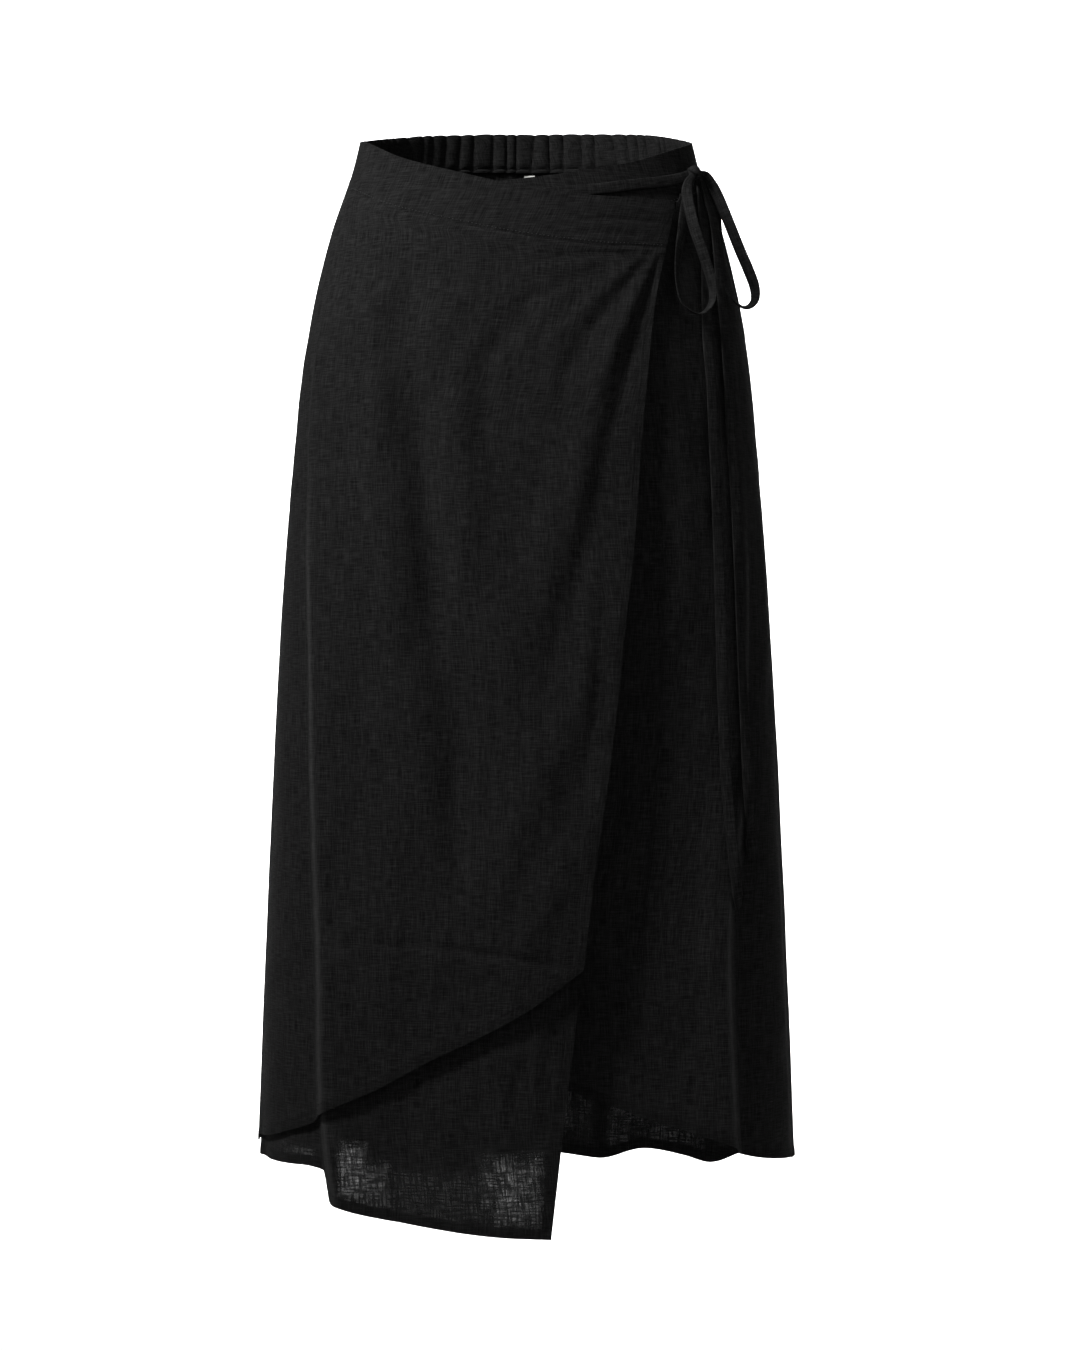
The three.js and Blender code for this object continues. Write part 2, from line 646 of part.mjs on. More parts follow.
function backPanelGeometry() {
  return wallGeometry(BACK_COLUMNS, BACK_ROWS.count, (i, j, inner) => {
    const { angle } = backColumn(i, BACK_COLUMNS);
    const top = backBandTop(angle) - BACK_BAND_HEIGHT - SEAM_GAP;
    const hem = lookUp(BACK_HEM, "across", smoothPoint(angle, BACK_WAVES.toZ).x, "z");
    const z = mix(top, hem, (j / BACK_ROWS.count) ** BACK_ROWS.crowding);
    return surfacePoint(backFolds, angle, z, inner ? CLOTH : 0);
  });
}

// Straps

// A flat strap along a path: each stop gives a centre and the direction that the strap's face looks.
// The corners are cut off its section, and a stop may widen or thicken it.
function strapGeometry(stops) {
  const wideEnd = 1 - STRAP_CORNER.face;
  const thickEnd = 1 - STRAP_CORNER.edge;
  const outline = [
    [-1, -thickEnd], [-1, thickEnd], [-wideEnd, 1], [wideEnd, 1],
    [1, thickEnd], [1, -thickEnd], [wideEnd, -1], [-wideEnd, -1],
  ];
  const positions = [];
  const index = [];
  stops.forEach((stop, i) => {
    const before = stops[Math.max(0, i - 1)].centre;
    const after = stops[Math.min(stops.length - 1, i + 1)].centre;
    const along = after.clone().sub(before).normalize();
    const side = new THREE.Vector3().crossVectors(along, stop.face).normalize();
    const face = new THREE.Vector3().crossVectors(side, along);
    for (const [wide, thick] of outline)
      positions.push(
        ...stop.centre
          .clone()
          .addScaledVector(side, (wide * STRAP_WIDTH * (stop.widen ?? 1)) / 2)
          .addScaledVector(face, (thick * STRAP_THICKNESS * (stop.thicken ?? 1)) / 2)
          .toArray(),
      );
  });
  const sides = outline.length;
  for (let i = 0; i < stops.length - 1; i++)
    for (let k = 0; k < sides; k++) {
      const a = i * sides + k;
      const b = i * sides + ((k + 1) % sides);
      index.push(a, b, b + sides, a, b + sides, a + sides);
    }
  const end = (stops.length - 1) * sides;
  for (let k = 1; k < sides - 1; k++) index.push(0, k + 1, k, end, end + k, end + k + 1);
  const geometry = new THREE.BufferGeometry();
  geometry.setAttribute("position", new THREE.Float32BufferAttribute(positions, 3));
  geometry.setIndex(index);
  geometry.computeVertexNormals();
  return geometry;
}

// A point that stands off a surface, with the way straight out of it there.
function offSurface(surface, angle, z, distance) {
  const reach = { angle: 1, z: 3 };
  const at = (angleBy, zBy) => surfacePoint(surface, angle + angleBy, z + zBy);
  const round = at(reach.angle, 0).sub(at(-reach.angle, 0));
  const rise = at(0, reach.z).sub(at(0, -reach.z));
  const out = new THREE.Vector3().crossVectors(round, rise).normalize();
  return { centre: surfacePoint(surface, angle, z).addScaledVector(out, distance), out };
}

// The strap that lies on the inner waistband, from under the outer one to the knot.
function waistStrapGeometry() {
  const steps = 14;
  return strapGeometry(
    Array.from({ length: steps + 1 }, (_, i) => {
      const angle = mix(WAIST_STRAP[0].angle, WAIST_STRAP.at(-1).angle, i / steps);
      const z = lookUp(WAIST_STRAP, "angle", angle, "z");
      const lift = lookUp(WAIST_STRAP, "angle", angle, "lift");
      const { centre, out } = offSurface(innerBandSurface, angle, z, lift);
      return { centre, face: out };
    }),
  );
}

// The short strap from the outer waistband's free corner up to the knot.
function cornerStrapGeometry() {
  const corner = outerFreeEdge(CORNER_STRAP[0].z);
  return strapGeometry(
    CORNER_STRAP.map((stop) => {
      const { centre, out } = offSurface(innerBandSurface, corner + stop.turn, stop.z, stop.standOff);
      return { centre, face: out };
    }),
  );
}

// How wide and thick a strap is near the knot, where it is pinched.
function pinched(distance) {
  const share = ease(distance, 0, KNOT_PINCH.length);
  return { widen: mix(KNOT_PINCH.widen, 1, share), thicken: mix(KNOT_PINCH.thicken, 1, share) };
}

// A loop of the bow along its stops.
function loopGeometry(rows) {
  const curve = new THREE.CatmullRomCurve3(rows.map((row) => new THREE.Vector3(row.x, row.y, row.z)));
  const middle = curve.points.reduce((sum, point) => sum.add(point), new THREE.Vector3());
  middle.divideScalar(rows.length);
  const length = curve.getLength();
  return strapGeometry(
    Array.from({ length: LOOP_STEPS + 1 }, (_, i) => {
      const t = curve.getUtoTmapping(i / LOOP_STEPS);
      const centre = curve.getPoint(t);
      const along = curve.getTangent(t);
      const row = t * (rows.length - 1);
      const before = Math.min(Math.floor(row), rows.length - 2);
      const turn = radians(mix(rows[before].turn, rows[before + 1].turn, row - before));
      const facingOut = new THREE.Vector3(LOOP_FACING.x, LOOP_FACING.y, 0).normalize();
      const sideways = new THREE.Vector3().crossVectors(along, facingOut).normalize();
      if (sideways.dot(centre.clone().sub(middle)) < 0) sideways.negate();
      const face = facingOut.multiplyScalar(Math.cos(turn)).addScaledVector(sideways, Math.sin(turn));
      const fromKnot = Math.min(i, LOOP_STEPS - i) * (length / LOOP_STEPS);
      return { centre, face, ...pinched(fromKnot) };
    }),
  );
}

// The angle at which a point that stands off a surface is that far across.
function angleOff(surface, across, z, lift) {
  let low = TIE_END_REACH.from;
  let high = TIE_END_REACH.to;
  for (let i = 0; i < HALVINGS; i++) {
    const middle = (low + high) / 2;
    if (offSurface(surface, middle, z, lift).centre.x < across) low = middle;
    else high = middle;
  }
  return (low + high) / 2;
}

// A tie end that hangs down the inner panel to its own hem.
function tieEndGeometry(rows) {
  const length = rows[0].z - rows.at(-1).z;
  return strapGeometry(
    Array.from({ length: TIE_END_STEPS + 1 }, (_, i) => {
      const z = rows[0].z - (length * i) / TIE_END_STEPS;
      const lift = lookUp(rows, "z", z, "lift");
      const angle = angleOff(innerPanelSurface, lookUp(rows, "z", z, "across"), z, lift);
      const { centre, out } = offSurface(innerPanelSurface, angle, z, lift);
      const twist = radians(lookUp(rows, "z", z, "twist"));
      const face = out.applyAxisAngle(new THREE.Vector3(0, 0, 1), -twist);
      const hem = ease(rows[0].z - z, length - TIE_HEM.length - 2, length - TIE_HEM.length);
      const pinch = pinched(rows[0].z - z);
      return {
        centre,
        face,
        widen: pinch.widen * mix(1, TIE_HEM.widen, hem),
        thicken: pinch.thicken * mix(1, TIE_HEM.thicken, hem),
      };
    }),
  );
}

// The knot: a rounded lump with a groove on the slant where one strap wraps over the other.
function knotGeometry() {
  const geometry = new THREE.IcosahedronGeometry(1, 3);
  const spots = geometry.getAttribute("position");
  const spot = new THREE.Vector3();
  for (let i = 0; i < spots.count; i++) {
    spot.fromBufferAttribute(spots, i);
    const slant = spot.x * KNOT_GROOVE.slantAcross + spot.z * KNOT_GROOVE.slantUp;
    const fromGroove = (slant - KNOT_GROOVE.place) / KNOT_GROOVE.width;
    spot.multiplyScalar(1 - KNOT_GROOVE.depth * Math.exp(-(fromGroove ** 2)));
    spots.setXYZ(i, (spot.x * KNOT.across) / 2, (spot.y * KNOT.deep) / 2, (spot.z * KNOT.high) / 2);
  }
  return geometry.translate(KNOT.x, KNOT.y, KNOT.z);
}

// The label hangs inside the back from the seam below the band, and follows the cloth behind it.
function labelGeometry() {
  const columns = 4;
  const rows = 4;
  return wallGeometry(columns, rows, (i, j, inner) => {
    const z = LABEL.top - (LABEL.length * j) / rows;
    const across = LABEL.across + LABEL.width * (0.5 - i / columns);
    const angle = 180 - THREE.MathUtils.radToDeg(Math.asin(across / sectionAt(z).halfWidth));
    return surfacePoint(backFolds, angle, z, CLOTH + 2 * SEAM_GAP + (inner ? LABEL.thickness : 0));
  });
}

const GARMENT = new THREE.Group();

function addPiece(name, geometry, colour = LINEN_COLOUR) {
  const material = new THREE.MeshStandardMaterial({ color: colour, roughness: 0.95, metalness: 0 });
  const mesh = new THREE.Mesh(geometry, material);
  mesh.name = name;
  GARMENT.add(mesh);
}

addPiece("outer_waistband", panelGeometry(outerBand));
addPiece("inner_waistband", panelGeometry(innerBand));
addPiece("back_waistband", backBandGeometry());
addPiece("outer_front_top_layer", panelGeometry(topLayer));
addPiece("outer_front_long_layer", panelGeometry(longLayer));
addPiece("inner_front_panel", panelGeometry(innerPanel));
addPiece("back_panel", backPanelGeometry());
addPiece("waist_strap", waistStrapGeometry());
addPiece("corner_strap", cornerStrapGeometry());
addPiece("bow_knot", knotGeometry());
addPiece("bow_loop_front", loopGeometry(FRONT_LOOP));
addPiece("bow_loop_side", loopGeometry(SIDE_LOOP));
addPiece("tie_end_long", tieEndGeometry(LONG_TIE_END));
addPiece("tie_end_short", tieEndGeometry(SHORT_TIE_END));
addPiece("label", labelGeometry(), LABEL_COLOUR);

export default GARMENT;
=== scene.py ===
"""The looks of a linen wrap skirt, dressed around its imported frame.

Sizes are in millimetres, and a mesh is turned to metres when it is made. Angles run round the skirt in
degrees: 0 is centre front, 90 the wearer's left side, 180 centre back.
"""

import logging  # noqa: E402
import math  # noqa: E402
from dataclasses import dataclass, field  # noqa: E402
from enum import Enum  # noqa: E402
from typing import Callable  # noqa: E402

import bpy  # noqa: E402
import numpy as np  # noqa: E402
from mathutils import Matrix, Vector  # noqa: E402


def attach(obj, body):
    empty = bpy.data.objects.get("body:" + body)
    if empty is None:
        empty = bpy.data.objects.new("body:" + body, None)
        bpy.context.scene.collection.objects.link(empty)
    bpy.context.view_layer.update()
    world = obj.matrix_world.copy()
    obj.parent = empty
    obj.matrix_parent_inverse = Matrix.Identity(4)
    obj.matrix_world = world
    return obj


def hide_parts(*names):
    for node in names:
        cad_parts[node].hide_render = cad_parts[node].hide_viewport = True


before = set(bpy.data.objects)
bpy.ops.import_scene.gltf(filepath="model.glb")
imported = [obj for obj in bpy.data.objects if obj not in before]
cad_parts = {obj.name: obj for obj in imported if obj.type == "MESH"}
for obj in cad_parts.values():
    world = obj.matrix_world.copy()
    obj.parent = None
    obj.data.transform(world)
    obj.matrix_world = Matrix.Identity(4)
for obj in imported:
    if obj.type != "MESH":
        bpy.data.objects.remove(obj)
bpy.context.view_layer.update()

Array = np.ndarray
Surface = Callable[[Array, Array], Array]
Line = Callable[[Array], Array]
Place = tuple[float, float, float]
Span = tuple[float, float]

MM = 0.001
BODY = "root"
LOG = logging.getLogger("wrap_skirt")

# The cut of the skirt
CLOTH = 1.3  # the room that one layer of cloth takes
SHELL = 0.7  # the cloth itself
HEM_SHELL = 1.3  # cloth turned in twice
BAND_SHELL = 1.9  # and doubled over a stiffener
BAND_CLOTH = 2.0
SEAM_GAP = 0.3
PITCH_TOP, PITCH_LOW = 1.8, 3.4  # from one hanging layer's face to the next one's, at the band and low down
FRONT_BAND_HEIGHT = 42.0
BACK_BAND_HEIGHT = 34.0
RIGHT_SEAM, LEFT_SEAM = -84.0, 77.0
BACK_SPAN = 360 + RIGHT_SEAM - LEFT_SEAM
OUTER_LIFT = 13.0
LONG_LAYER_GAP = 3.5
INNER_SAG = 9.0
INNER_CLEARANCE = 1.0
STRAP_WIDTH, STRAP_THICKNESS = 9.5, 1.8
STRAP_BED = BAND_CLOTH + STRAP_THICKNESS + 4 * SEAM_GAP
PANEL_GATHERS, PANEL_GATHER_DEPTH = 17, 2.6
BAND_GATHERS, BAND_GATHER_DEPTH = 34, 0.8
BACK_WAVES, BACK_WAVE_DEPTH = 5.85, 11.0
BACK_HEM_AT = -860.0  # the height at which the back's hem is read by distance across
SEAM_LAP = 0.1  # degrees by which the front's edge laps the side seam
SIDE_TURN = 0.25  # degrees between the points that give a direction round the skirt
MM_PER_DEGREE = 3.6  # round the skirt, about the hip
HALVINGS = 24  # steps of a search for an angle
EDGE_STEPS = 8  # steps of a search for an edge's height
ROUND_EDGE = 80.0  # degrees up to which small round forms of few faces are shaded smooth

# The drops below the waist over which a form grows, and the shares of the way to the free edge
PITCH_DROP: Span = (60, 480)
FREE_DROP: Span = (70, 150)  # over which the cloth comes free of the band
OUTER_LIFT_DROP: Span = (60, 760)
OUTER_LIFT_REACH: Span = (0.35, 1)
LONG_GAP_DROP: Span = (300, 760)
LONG_GAP_REACH: Span = (0.3, 0.7)
INNER_SAG_DROP: Span = (150, 700)
GATHER_DROP: Span = (-20, 230)
GATHER_START_DROP: Span = (-8, 30)
GATHER_START = 0.25  # how deep the gathers are where they start
BACK_WAVE_DROP: Span = (90, 860)
BACK_SEAM_SHARE = 0.06  # of the back, beside each side seam, where its folds fade
BACK_DRIFT, BACK_DRIFT_TURNS, BACK_DRIFT_START = 0.5, 2.0, 0.15  # how the folds stray sideways
WAVE_UNEVEN, WAVE_UNEVEN_TURNS, WAVE_UNEVEN_START = 0.3, 1.7, 0.3  # and how their depths differ

# How the small relief leans and where it fades
SLANT_TOP, SLANT_LOW, SLANT_DROP = 0.45, 0.12, (120, 620)
SEWN_FADE, LAPPED_FADE = 6.0, 3.0  # degrees beside the right seam
INNER_FADE_IN, INNER_FADE_OUT = (-8.0, 4.0), 6.0  # degrees about the free edge, and before the left seam
INNER_FOLD_REACH: Span = (-30, 20)
INNER_BAND_BED = 42.0  # degrees, where the bed for the strap starts to rise
BAND_CRUMPLE = 0.16  # the stiffened band's share of the unevenness
CREASE_SWAY, CREASE_TURNS, CREASE_SHIFT = 0.35, 5.0, 0.05  # how a crease wanders off its straight line
CREASE_OVERRUN, CREASE_FADE = 0.08, 0.8
SEED_OUTER, SEED_INNER, SEED_BAND, SEED_BACK, SEED_GATHERS = 40, 90, 21, 140, 31


def ease(value: Array, low: Array | float, high: Array | float) -> Array:
    """Returns 0 before low, 1 after high and a smooth step between them."""
    t = np.clip((value - low) / (high - low), 0, 1)
    return t * t * (3 - 2 * t)


def mix(a: Array | float, b: Array | float, share: Array | float) -> Array:
    """Returns the value that share of the way from a to b."""
    return a + (b - a) * share


def unit(vectors: Array) -> Array:
    """Returns vectors of length 1 along the last axis."""
    return vectors / np.maximum(np.linalg.norm(vectors, axis=-1, keepdims=True), 1e-9)


@dataclass(frozen=True)
class Table:
    """Rows of sizes under named columns, read along a smooth curve that doesn't overshoot."""

    columns: tuple[str, ...]
    rows: tuple[tuple[float, ...], ...]

    def read(self, key: str, at: Array, column: str) -> Array:
        """Reads one column at places along another.

        Args:
            key: The column to look along.
            at: The places on it, held within its ends.
            column: The column to read.

        Returns:
            The values, in the shape of at.
        """
        k, c = self.columns.index(key), self.columns.index(column)
        grid = np.array(sorted(self.rows, key=lambda row: row[k]), float)
        x, y = grid[:, k], grid[:, c]
        step = np.diff(y) / np.diff(x)
        before, after = step[:-1], step[1:]
        both = np.where(before * after > 0, before + after, 1.0)
        bend = np.where(before * after > 0, 2 * before * after / both, 0.0)
        slope = np.concatenate([step[:1], bend, step[-1:]])
        at = np.clip(np.asarray(at, float), x[0], x[-1])
        i = np.clip(np.searchsorted(x, at, side="right") - 1, 0, len(x) - 2)
        span = x[i + 1] - x[i]
        t = (at - x[i]) / span
        rise = slope[i] * (t**3 - 2 * t**2 + t) + slope[i + 1] * (t**3 - t**2)
        return y[i] * (2 * t**3 - 3 * t**2 + 1) + y[i + 1] * (3 * t**2 - 2 * t**3) + span * rise


EDGE = ("across", "z")
SIDE = ("z", "across")

SECTIONS = Table(
    ("z", "half_width", "front", "back", "square"),
    (
        (46, 138, 98, 100, 0), (0, 148.5, 101, 105, 0), (-62, 169, 108, 115, 0.01),
        (-130, 185, 115, 126, 0.02), (-200, 195, 120, 132, 0.028), (-400, 211, 130, 138, 0.036),
        (-620, 221.5, 138, 143, 0.042), (-850, 230.5, 144, 150, 0.045), (-905, 232, 146, 152, 0.045),
    ),
)
OUTER_BAND_TOP = Table(
    EDGE, ((-145, 22), (-106, -1), (-56, -17), (-13, -27.5), (29, -34), (62, -37), (126, -37.5))
)
INNER_BAND_TOP = Table(
    EDGE,
    (
        (-112, -29), (-45, -26.5), (-10, -23.5), (29, -18.5), (62, -12.5), (88, -7), (112, 1.5), (135, 13),
        (144, 19.4),
    ),
)
BACK_BAND_TOP = Table(
    ("angle", "z"),
    (
        (77, 17.2), (88, 21), (98, 25), (108.5, 29.6), (123, 36), (135, 39.8), (155, 43), (168, 44),
        (192, 44), (203, 42.6), (219, 39.8), (230, 36.4), (242, 32.4), (254, 28.2), (266, 24), (276, 20.9),
    ),
)
TOP_LAYER_HEM = Table(
    EDGE,
    (
        (-230, -831), (-204, -820), (-178, -810), (-163, -799.5), (-122, -779.5), (-78, -755), (-37, -735),
        (4, -711.5), (47, -680),
    ),
)
LONG_LAYER_HEM = Table(
    EDGE,
    (
        (-230, -848), (-188, -846), (-167, -849), (-163.5, -866), (-154, -877), (-88, -890.5), (-17, -899),
        (21, -900.5),
    ),
)
INNER_PANEL_HEM = Table(
    EDGE, ((-75, -735), (-20, -762), (35, -781), (103, -805), (173, -830), (181, -836), (224, -847))
)
BACK_HEM = Table(
    EDGE,
    (
        (-229, -836), (-150, -858), (-60, -870), (0, -870), (66, -873.5), (105, -864.5), (138, -871),
        (162, -875.5), (200, -861), (228, -848),
    ),
)
OUTER_FREE_EDGE = Table(
    SIDE,
    (
        (-37, 126), (-72, 119.5), (-124, 108), (-209, 99), (-326, 89.5), (-392, 82), (-507, 69.5),
        (-606, 55.5), (-680, 47), (-778, 35), (-901, 21),
    ),
)
INNER_FREE_EDGE = Table(SIDE, ((-28, -112), (-400, -92), (-730, -75)))

FOLD_COLUMNS = ("z", "across", "height")
RIGHT_SIDE_FOLD = Table(
    FOLD_COLUMNS,
    (
        (-60, -160, 0), (-150, -172, 1.5), (-241, -179, 3), (-458, -175, 7), (-608, -170, 9.5),
        (-707, -166, 11), (-800, -164, 12.5), (-868, -156, 14),
    ),
)
LEFT_SIDE_FOLD = Table(
    FOLD_COLUMNS,
    (
        (-120, 172, 0), (-373, 186.5, 4), (-458, 184, 5.5), (-524, 181, 6.5), (-582, 176.5, 7.5),
        (-632, 171, 8), (-674, 169.5, 9), (-748, 171, 10), (-830, 173.5, 12),
    ),
)
FOLD_STEEP_SIDE, FOLD_GENTLE_SIDE, FOLD_TO_SEAM = 2.4, 9.0, 9.0  # degrees

# The soft folds of the outer layers: from and to places (z, across), height in mm, and the widths in
# degrees of the flanks towards the wearer's right and left
DRAPE_FOLDS = (
    (-90, -136, -740, -36, 6.4, 8, 4.5),
    (-60, -92, -480, -22, 4.0, 5, 6),
    (-48, 110, -570, -44, 6.4, 8, 4.5),
    (-340, 86, -720, -66, 5.4, 6, 4.5),
    (-490, 68, -790, -54, 4.2, 5.5, 4.5),
    (-460, -112, -880, -118, 3.4, 6, 6),
    (-600, 16, -900, -30, 3.6, 5, 5),
)

# Creases: from and to places (across, z), height (a trough's is negative), and the half width at each end
OUTER_CREASES = (
    (-104, -100, -76, -420, -9.0, 15, 20),
    (-84, -330, -50, -650, -8.0, 19, 15),
    (-128, -160, -104, -480, 3.2, 12, 14),
    (-66, -120, -46, -360, 3.4, 12, 16),
    (113, -84, 101, -250, 1.8, 3, 6),
    (112, -88, 60, -268, -2.4, 3, 9),
    (64, -255, 28, -420, -1.2, 9, 10),
    (108, -84, 52, -215, 1.8, 3, 8),
    (104, -84, 26, -196, -2.0, 4, 9),
    (98, -84, -8, -190, 1.5, 3, 9),
    (100, -84, 4, -92, -1.4, 2.6, 3.4),
    (80, -86, -36, -150, -0.9, 3, 7),
    (50, -96, -58, -220, 0.8, 6, 12),
    (-38, -84, 4, -85, -0.7, 1.8, 1.8),
    (-142, -659, -76, -660, -1.7, 2.4, 2.6),
    (-84, -659, 36, -677, -2.2, 2.6, 2.4),
    (-104, -723, -5, -715, -0.6, 2.2, 2.6),
    (-79, -227, -62, -491, 1.1, 8, 12),
    (4, -458, 29, -607, 1.2, 7, 9),
    (-104, -285, -46, -293, -0.5, 2.2, 2.2),
    (-120, -409, -62, -413, -0.5, 2.4, 2.2),
    (-149, -342, -145, -508, 0.9, 6, 8),
    (-21, -276, -46, -409, -0.9, 6, 8),
    (53, -342, 41, -508, 1.3, 5, 7),
    (67, -330, 50, -560, -0.9, 3, 5),
    (29, -409, 4, -566, -0.9, 6, 8),
    (-87, -508, -91, -648, 0.8, 7, 8),
    (-38, -541, -21, -648, -0.8, 6, 6),
    (-162, -541, -149, -706, -0.7, 4, 5),
    (20, -600, 30, -668, 0.8, 4, 5),
    (-132, -180, -120, -330, 0.7, 6, 9),
    (-60, -120, -96, -262, 0.8, 6, 9),
    (-10, -150, -30, -262, 0.7, 5, 8),
    (-122, -560, -118, -640, -0.6, 5, 5),
    (-60, -676, -66, -748, 0.6, 4, 6),
    (-8, -672, -16, -706, -0.6, 4, 4),
)
BAND_CREASES = (
    (-118, -17, -34, -38, -0.7, 3, 3.4),
    (-30, -42, 6, -44, -0.6, 3, 4),
    (44, -57, 119, -58, -0.9, 2.6, 2.2),
    (70, -46, 120, -47, 0.5, 3, 2.6),
    (20, -68, 112, -70, -0.6, 2.4, 2.4),
)
SHARED_CREASES = 4  # this many of the outer creases press the cloth below as well
LONG_LAYER_CREASES = (
    (16, -725, 2, -812, 1.6, 5, 6),
    (4, -725, -14, -800, -1.5, 5, 6),
    (-12, -760, -24, -850, 0.9, 5, 7),
    (-79, -790, -83, -860, 0.8, 6, 7),
    (-104, -800, -108, -862, -0.8, 5, 5),
    (-128, -812, -124, -872, 0.8, 5, 6),
    (-50, -800, -54, -850, -0.7, 5, 5),
    (-196, -820, -198, -846, 0.8, 6, 8),
)
INNER_CREASES = (
    (136, -227, 144, -458, 1.0, 6, 8),
    (95, -458, 86, -665, 0.9, 6, 8),
    (111, -665, 107, -781, 0.9, 6, 8),
    (126, -520, 120, -690, -0.8, 5, 7),
    (53, -709, 78, -707, -0.7, 1.8, 1.8),
    (91, -716, 115, -713, -0.7, 1.8, 1.8),
    (144, -508, 148, -706, -0.8, 5, 6),
    (161, -152, 173, -342, 0.9, 5, 6),
    (70, -590, 62, -756, 0.7, 6, 8),
    (206, -375, 198, -541, 0.7, 4, 5),
    (150, -90, 158, -190, -0.7, 4, 5),
    (132, -118, 128, -240, 0.6, 5, 7),
    (88, -760, 92, -800, 0.6, 5, 6),
    (137, -780, 141, -822, -0.6, 4, 5),
)
BACK_CREASES = (
    (-120, -70, -128, -230, 1.0, 4, 8),
    (-84, -60, -92, -200, -0.9, 4, 7),
    (-40, -66, -52, -270, 1.1, 4, 9),
    (-8, -60, -2, -190, -0.8, 4, 7),
    (30, -64, 44, -250, 1.0, 4, 9),
    (76, -60, 84, -220, -0.9, 4, 8),
    (112, -66, 130, -300, 1.0, 4, 9),
    (-150, -300, -138, -520, 1.0, 8, 9),
    (60, -380, 20, -430, -0.7, 3, 3),
    (-70, -470, 10, -482, -0.6, 2.4, 2.4),
    (90, -560, 140, -552, -0.6, 2.4, 2.4),
    (-120, -640, -40, -650, -0.8, 2, 2.4),
    (140, -420, 128, -640, 1.0, 7, 8),
    (-30, -620, -44, -800, 0.8, 7, 8),
    (60, -640, 72, -820, -0.8, 6, 8),
    (160, -700, 150, -830, 0.7, 6, 7),
)

# Where the weave stands open: across, z, half width, half height and how open
LONG_LAYER_OPENINGS = (
    (-143, -847, 13, 27, 0.86), (-124, -858, 14, 22, 0.6), (-7, -862, 24, 34, 0.7),
    (-26, -855, 14, 28, 0.54), (-75, -868, 60, 26, 0.32), (-190, -836, 18, 8, 0.45),
    (-212, -838, 12, 6, 0.25),
)
BACK_OPENINGS = (
    (30, -812, 14, 50, 0.34), (52, -826, 9, 44, 0.22), (84, -838, 14, 34, 0.28), (104, -846, 12, 22, 0.2),
    (126, -850, 18, 20, 0.28), (150, -856, 12, 14, 0.24), (-60, -830, 60, 40, 0.14),
    (-150, -820, 40, 40, 0.14), (180, -810, 40, 40, 0.15),
)

# The unevenness of washed linen: how wide and long its streaks are, how they lean, and how deep
CRUMPLES = (
    (8.0, 34.0, 0.1, 0.16), (13.0, 60.0, 0.14, 0.46), (22.0, 90.0, -0.05, 0.9), (34.0, 80.0, 0.3, 0.9),
    (56.0, 190.0, 0.1, 1.6), (36.0, 11.0, 0.2, 0.2),
)

STRAP_STOPS = ("angle", "z", "lift")
WAIST_STRAP = Table(
    STRAP_STOPS,
    (
        (4, -37, 1.2), (10, -34.5, 1.2), (23, -31, 1.2), (34, -26.5, 1.2), (47, -22, 1.2), (57, -18, 2.6),
        (62.95, -15, 5.3),
    ),
)
CORNER_STRAP = Table(
    ("turn", "z", "lift"),
    (
        (1.34, -43, 3.6), (2.6, -43, 3.4), (4.4, -41, 3.4), (6.2, -37.5, 2.9), (7.8, -33, 2.6),
    ),
)
LOOP_FACING = (0.25, -1.0, 0.0)
FRONT_LOOP = (
    (137.5, -62, -21, -6), (135.8, -70, -31, -10), (137.5, -78, -44, -24), (141, -84, -61, -32),
    (146.5, -86, -77, -36), (150.8, -85, -90, -38), (154.8, -84, -102, -42), (157, -84, -113, -58),
    (156.3, -85, -124, -72), (152, -88, -131.5, -80), (145, -91.5, -135.5, -82), (136, -94.5, -132, -80),
    (129.5, -95.5, -124, -72), (127, -94, -111, -58), (127, -90, -97, -46), (128.5, -83.5, -81, -34),
    (131, -76.5, -66, -24), (133, -70, -52, -16), (135.5, -62.5, -38, -10), (138, -55, -25, -6),
)
SIDE_LOOP = (
    (153, -42.5, -12, -10), (157, -42, -17.5, -12), (163.5, -43, -30.5, -14), (172, -45, -51.5, -14),
    (181, -47, -74.5, -16), (189.5, -49, -95, -24), (194, -50, -108, -40), (194.5, -51, -118.5, -56),
    (190.5, -52, -124.5, -66), (184.5, -53, -126, -68), (177.5, -53, -121, -62), (171.5, -53, -112, -52),
    (168.5, -52, -100.5, -44), (166, -49, -84, -38), (164.5, -43, -64, -34), (163, -34, -45, -26),
    (160, -32, -31, -14), (155.5, -35, -20, -10),
)
TIE_STOPS = ("z", "across", "lift", "twist")
LONG_TIE_END = Table(
    TIE_STOPS,
    (
        (-21, 147, 3, 0), (-42, 149.5, 3.4, 4), (-78, 152, 3.6, 8), (-146, 152.5, 3.4, 10),
        (-200, 156, 6, 8), (-240, 157.5, 6.5, 6), (-268, 158.8, 6, 4), (-320, 161, 5, 8),
        (-391, 163, 5.5, 12), (-430, 163.7, 6.5, 9), (-470, 165, 5.5, 6), (-520, 167, 5, 2),
        (-580, 172, 6, 9), (-612, 175.5, 5, 6), (-631, 177.5, 4, 0),
    ),
)
SHORT_TIE_END = Table(
    TIE_STOPS,
    (
        (-18.5, 149.5, 7.5, 0), (-58, 160, 9, 10), (-108, 164, 9.5, 8), (-156, 168, 7, 0),
        (-199, 170.8, 6, 6), (-240, 173, 6, 12), (-277, 175.7, 5.5, 15), (-316, 177.3, 6.5, 5),
        (-363, 178.7, 5, -10), (-420, 180.5, 6.5, -14), (-475, 183, 5, -4), (-538, 186, 6.5, 20),
        (-573, 188.5, 5.5, 28), (-591, 190, 5, 12),
    ),
)


# The worn form


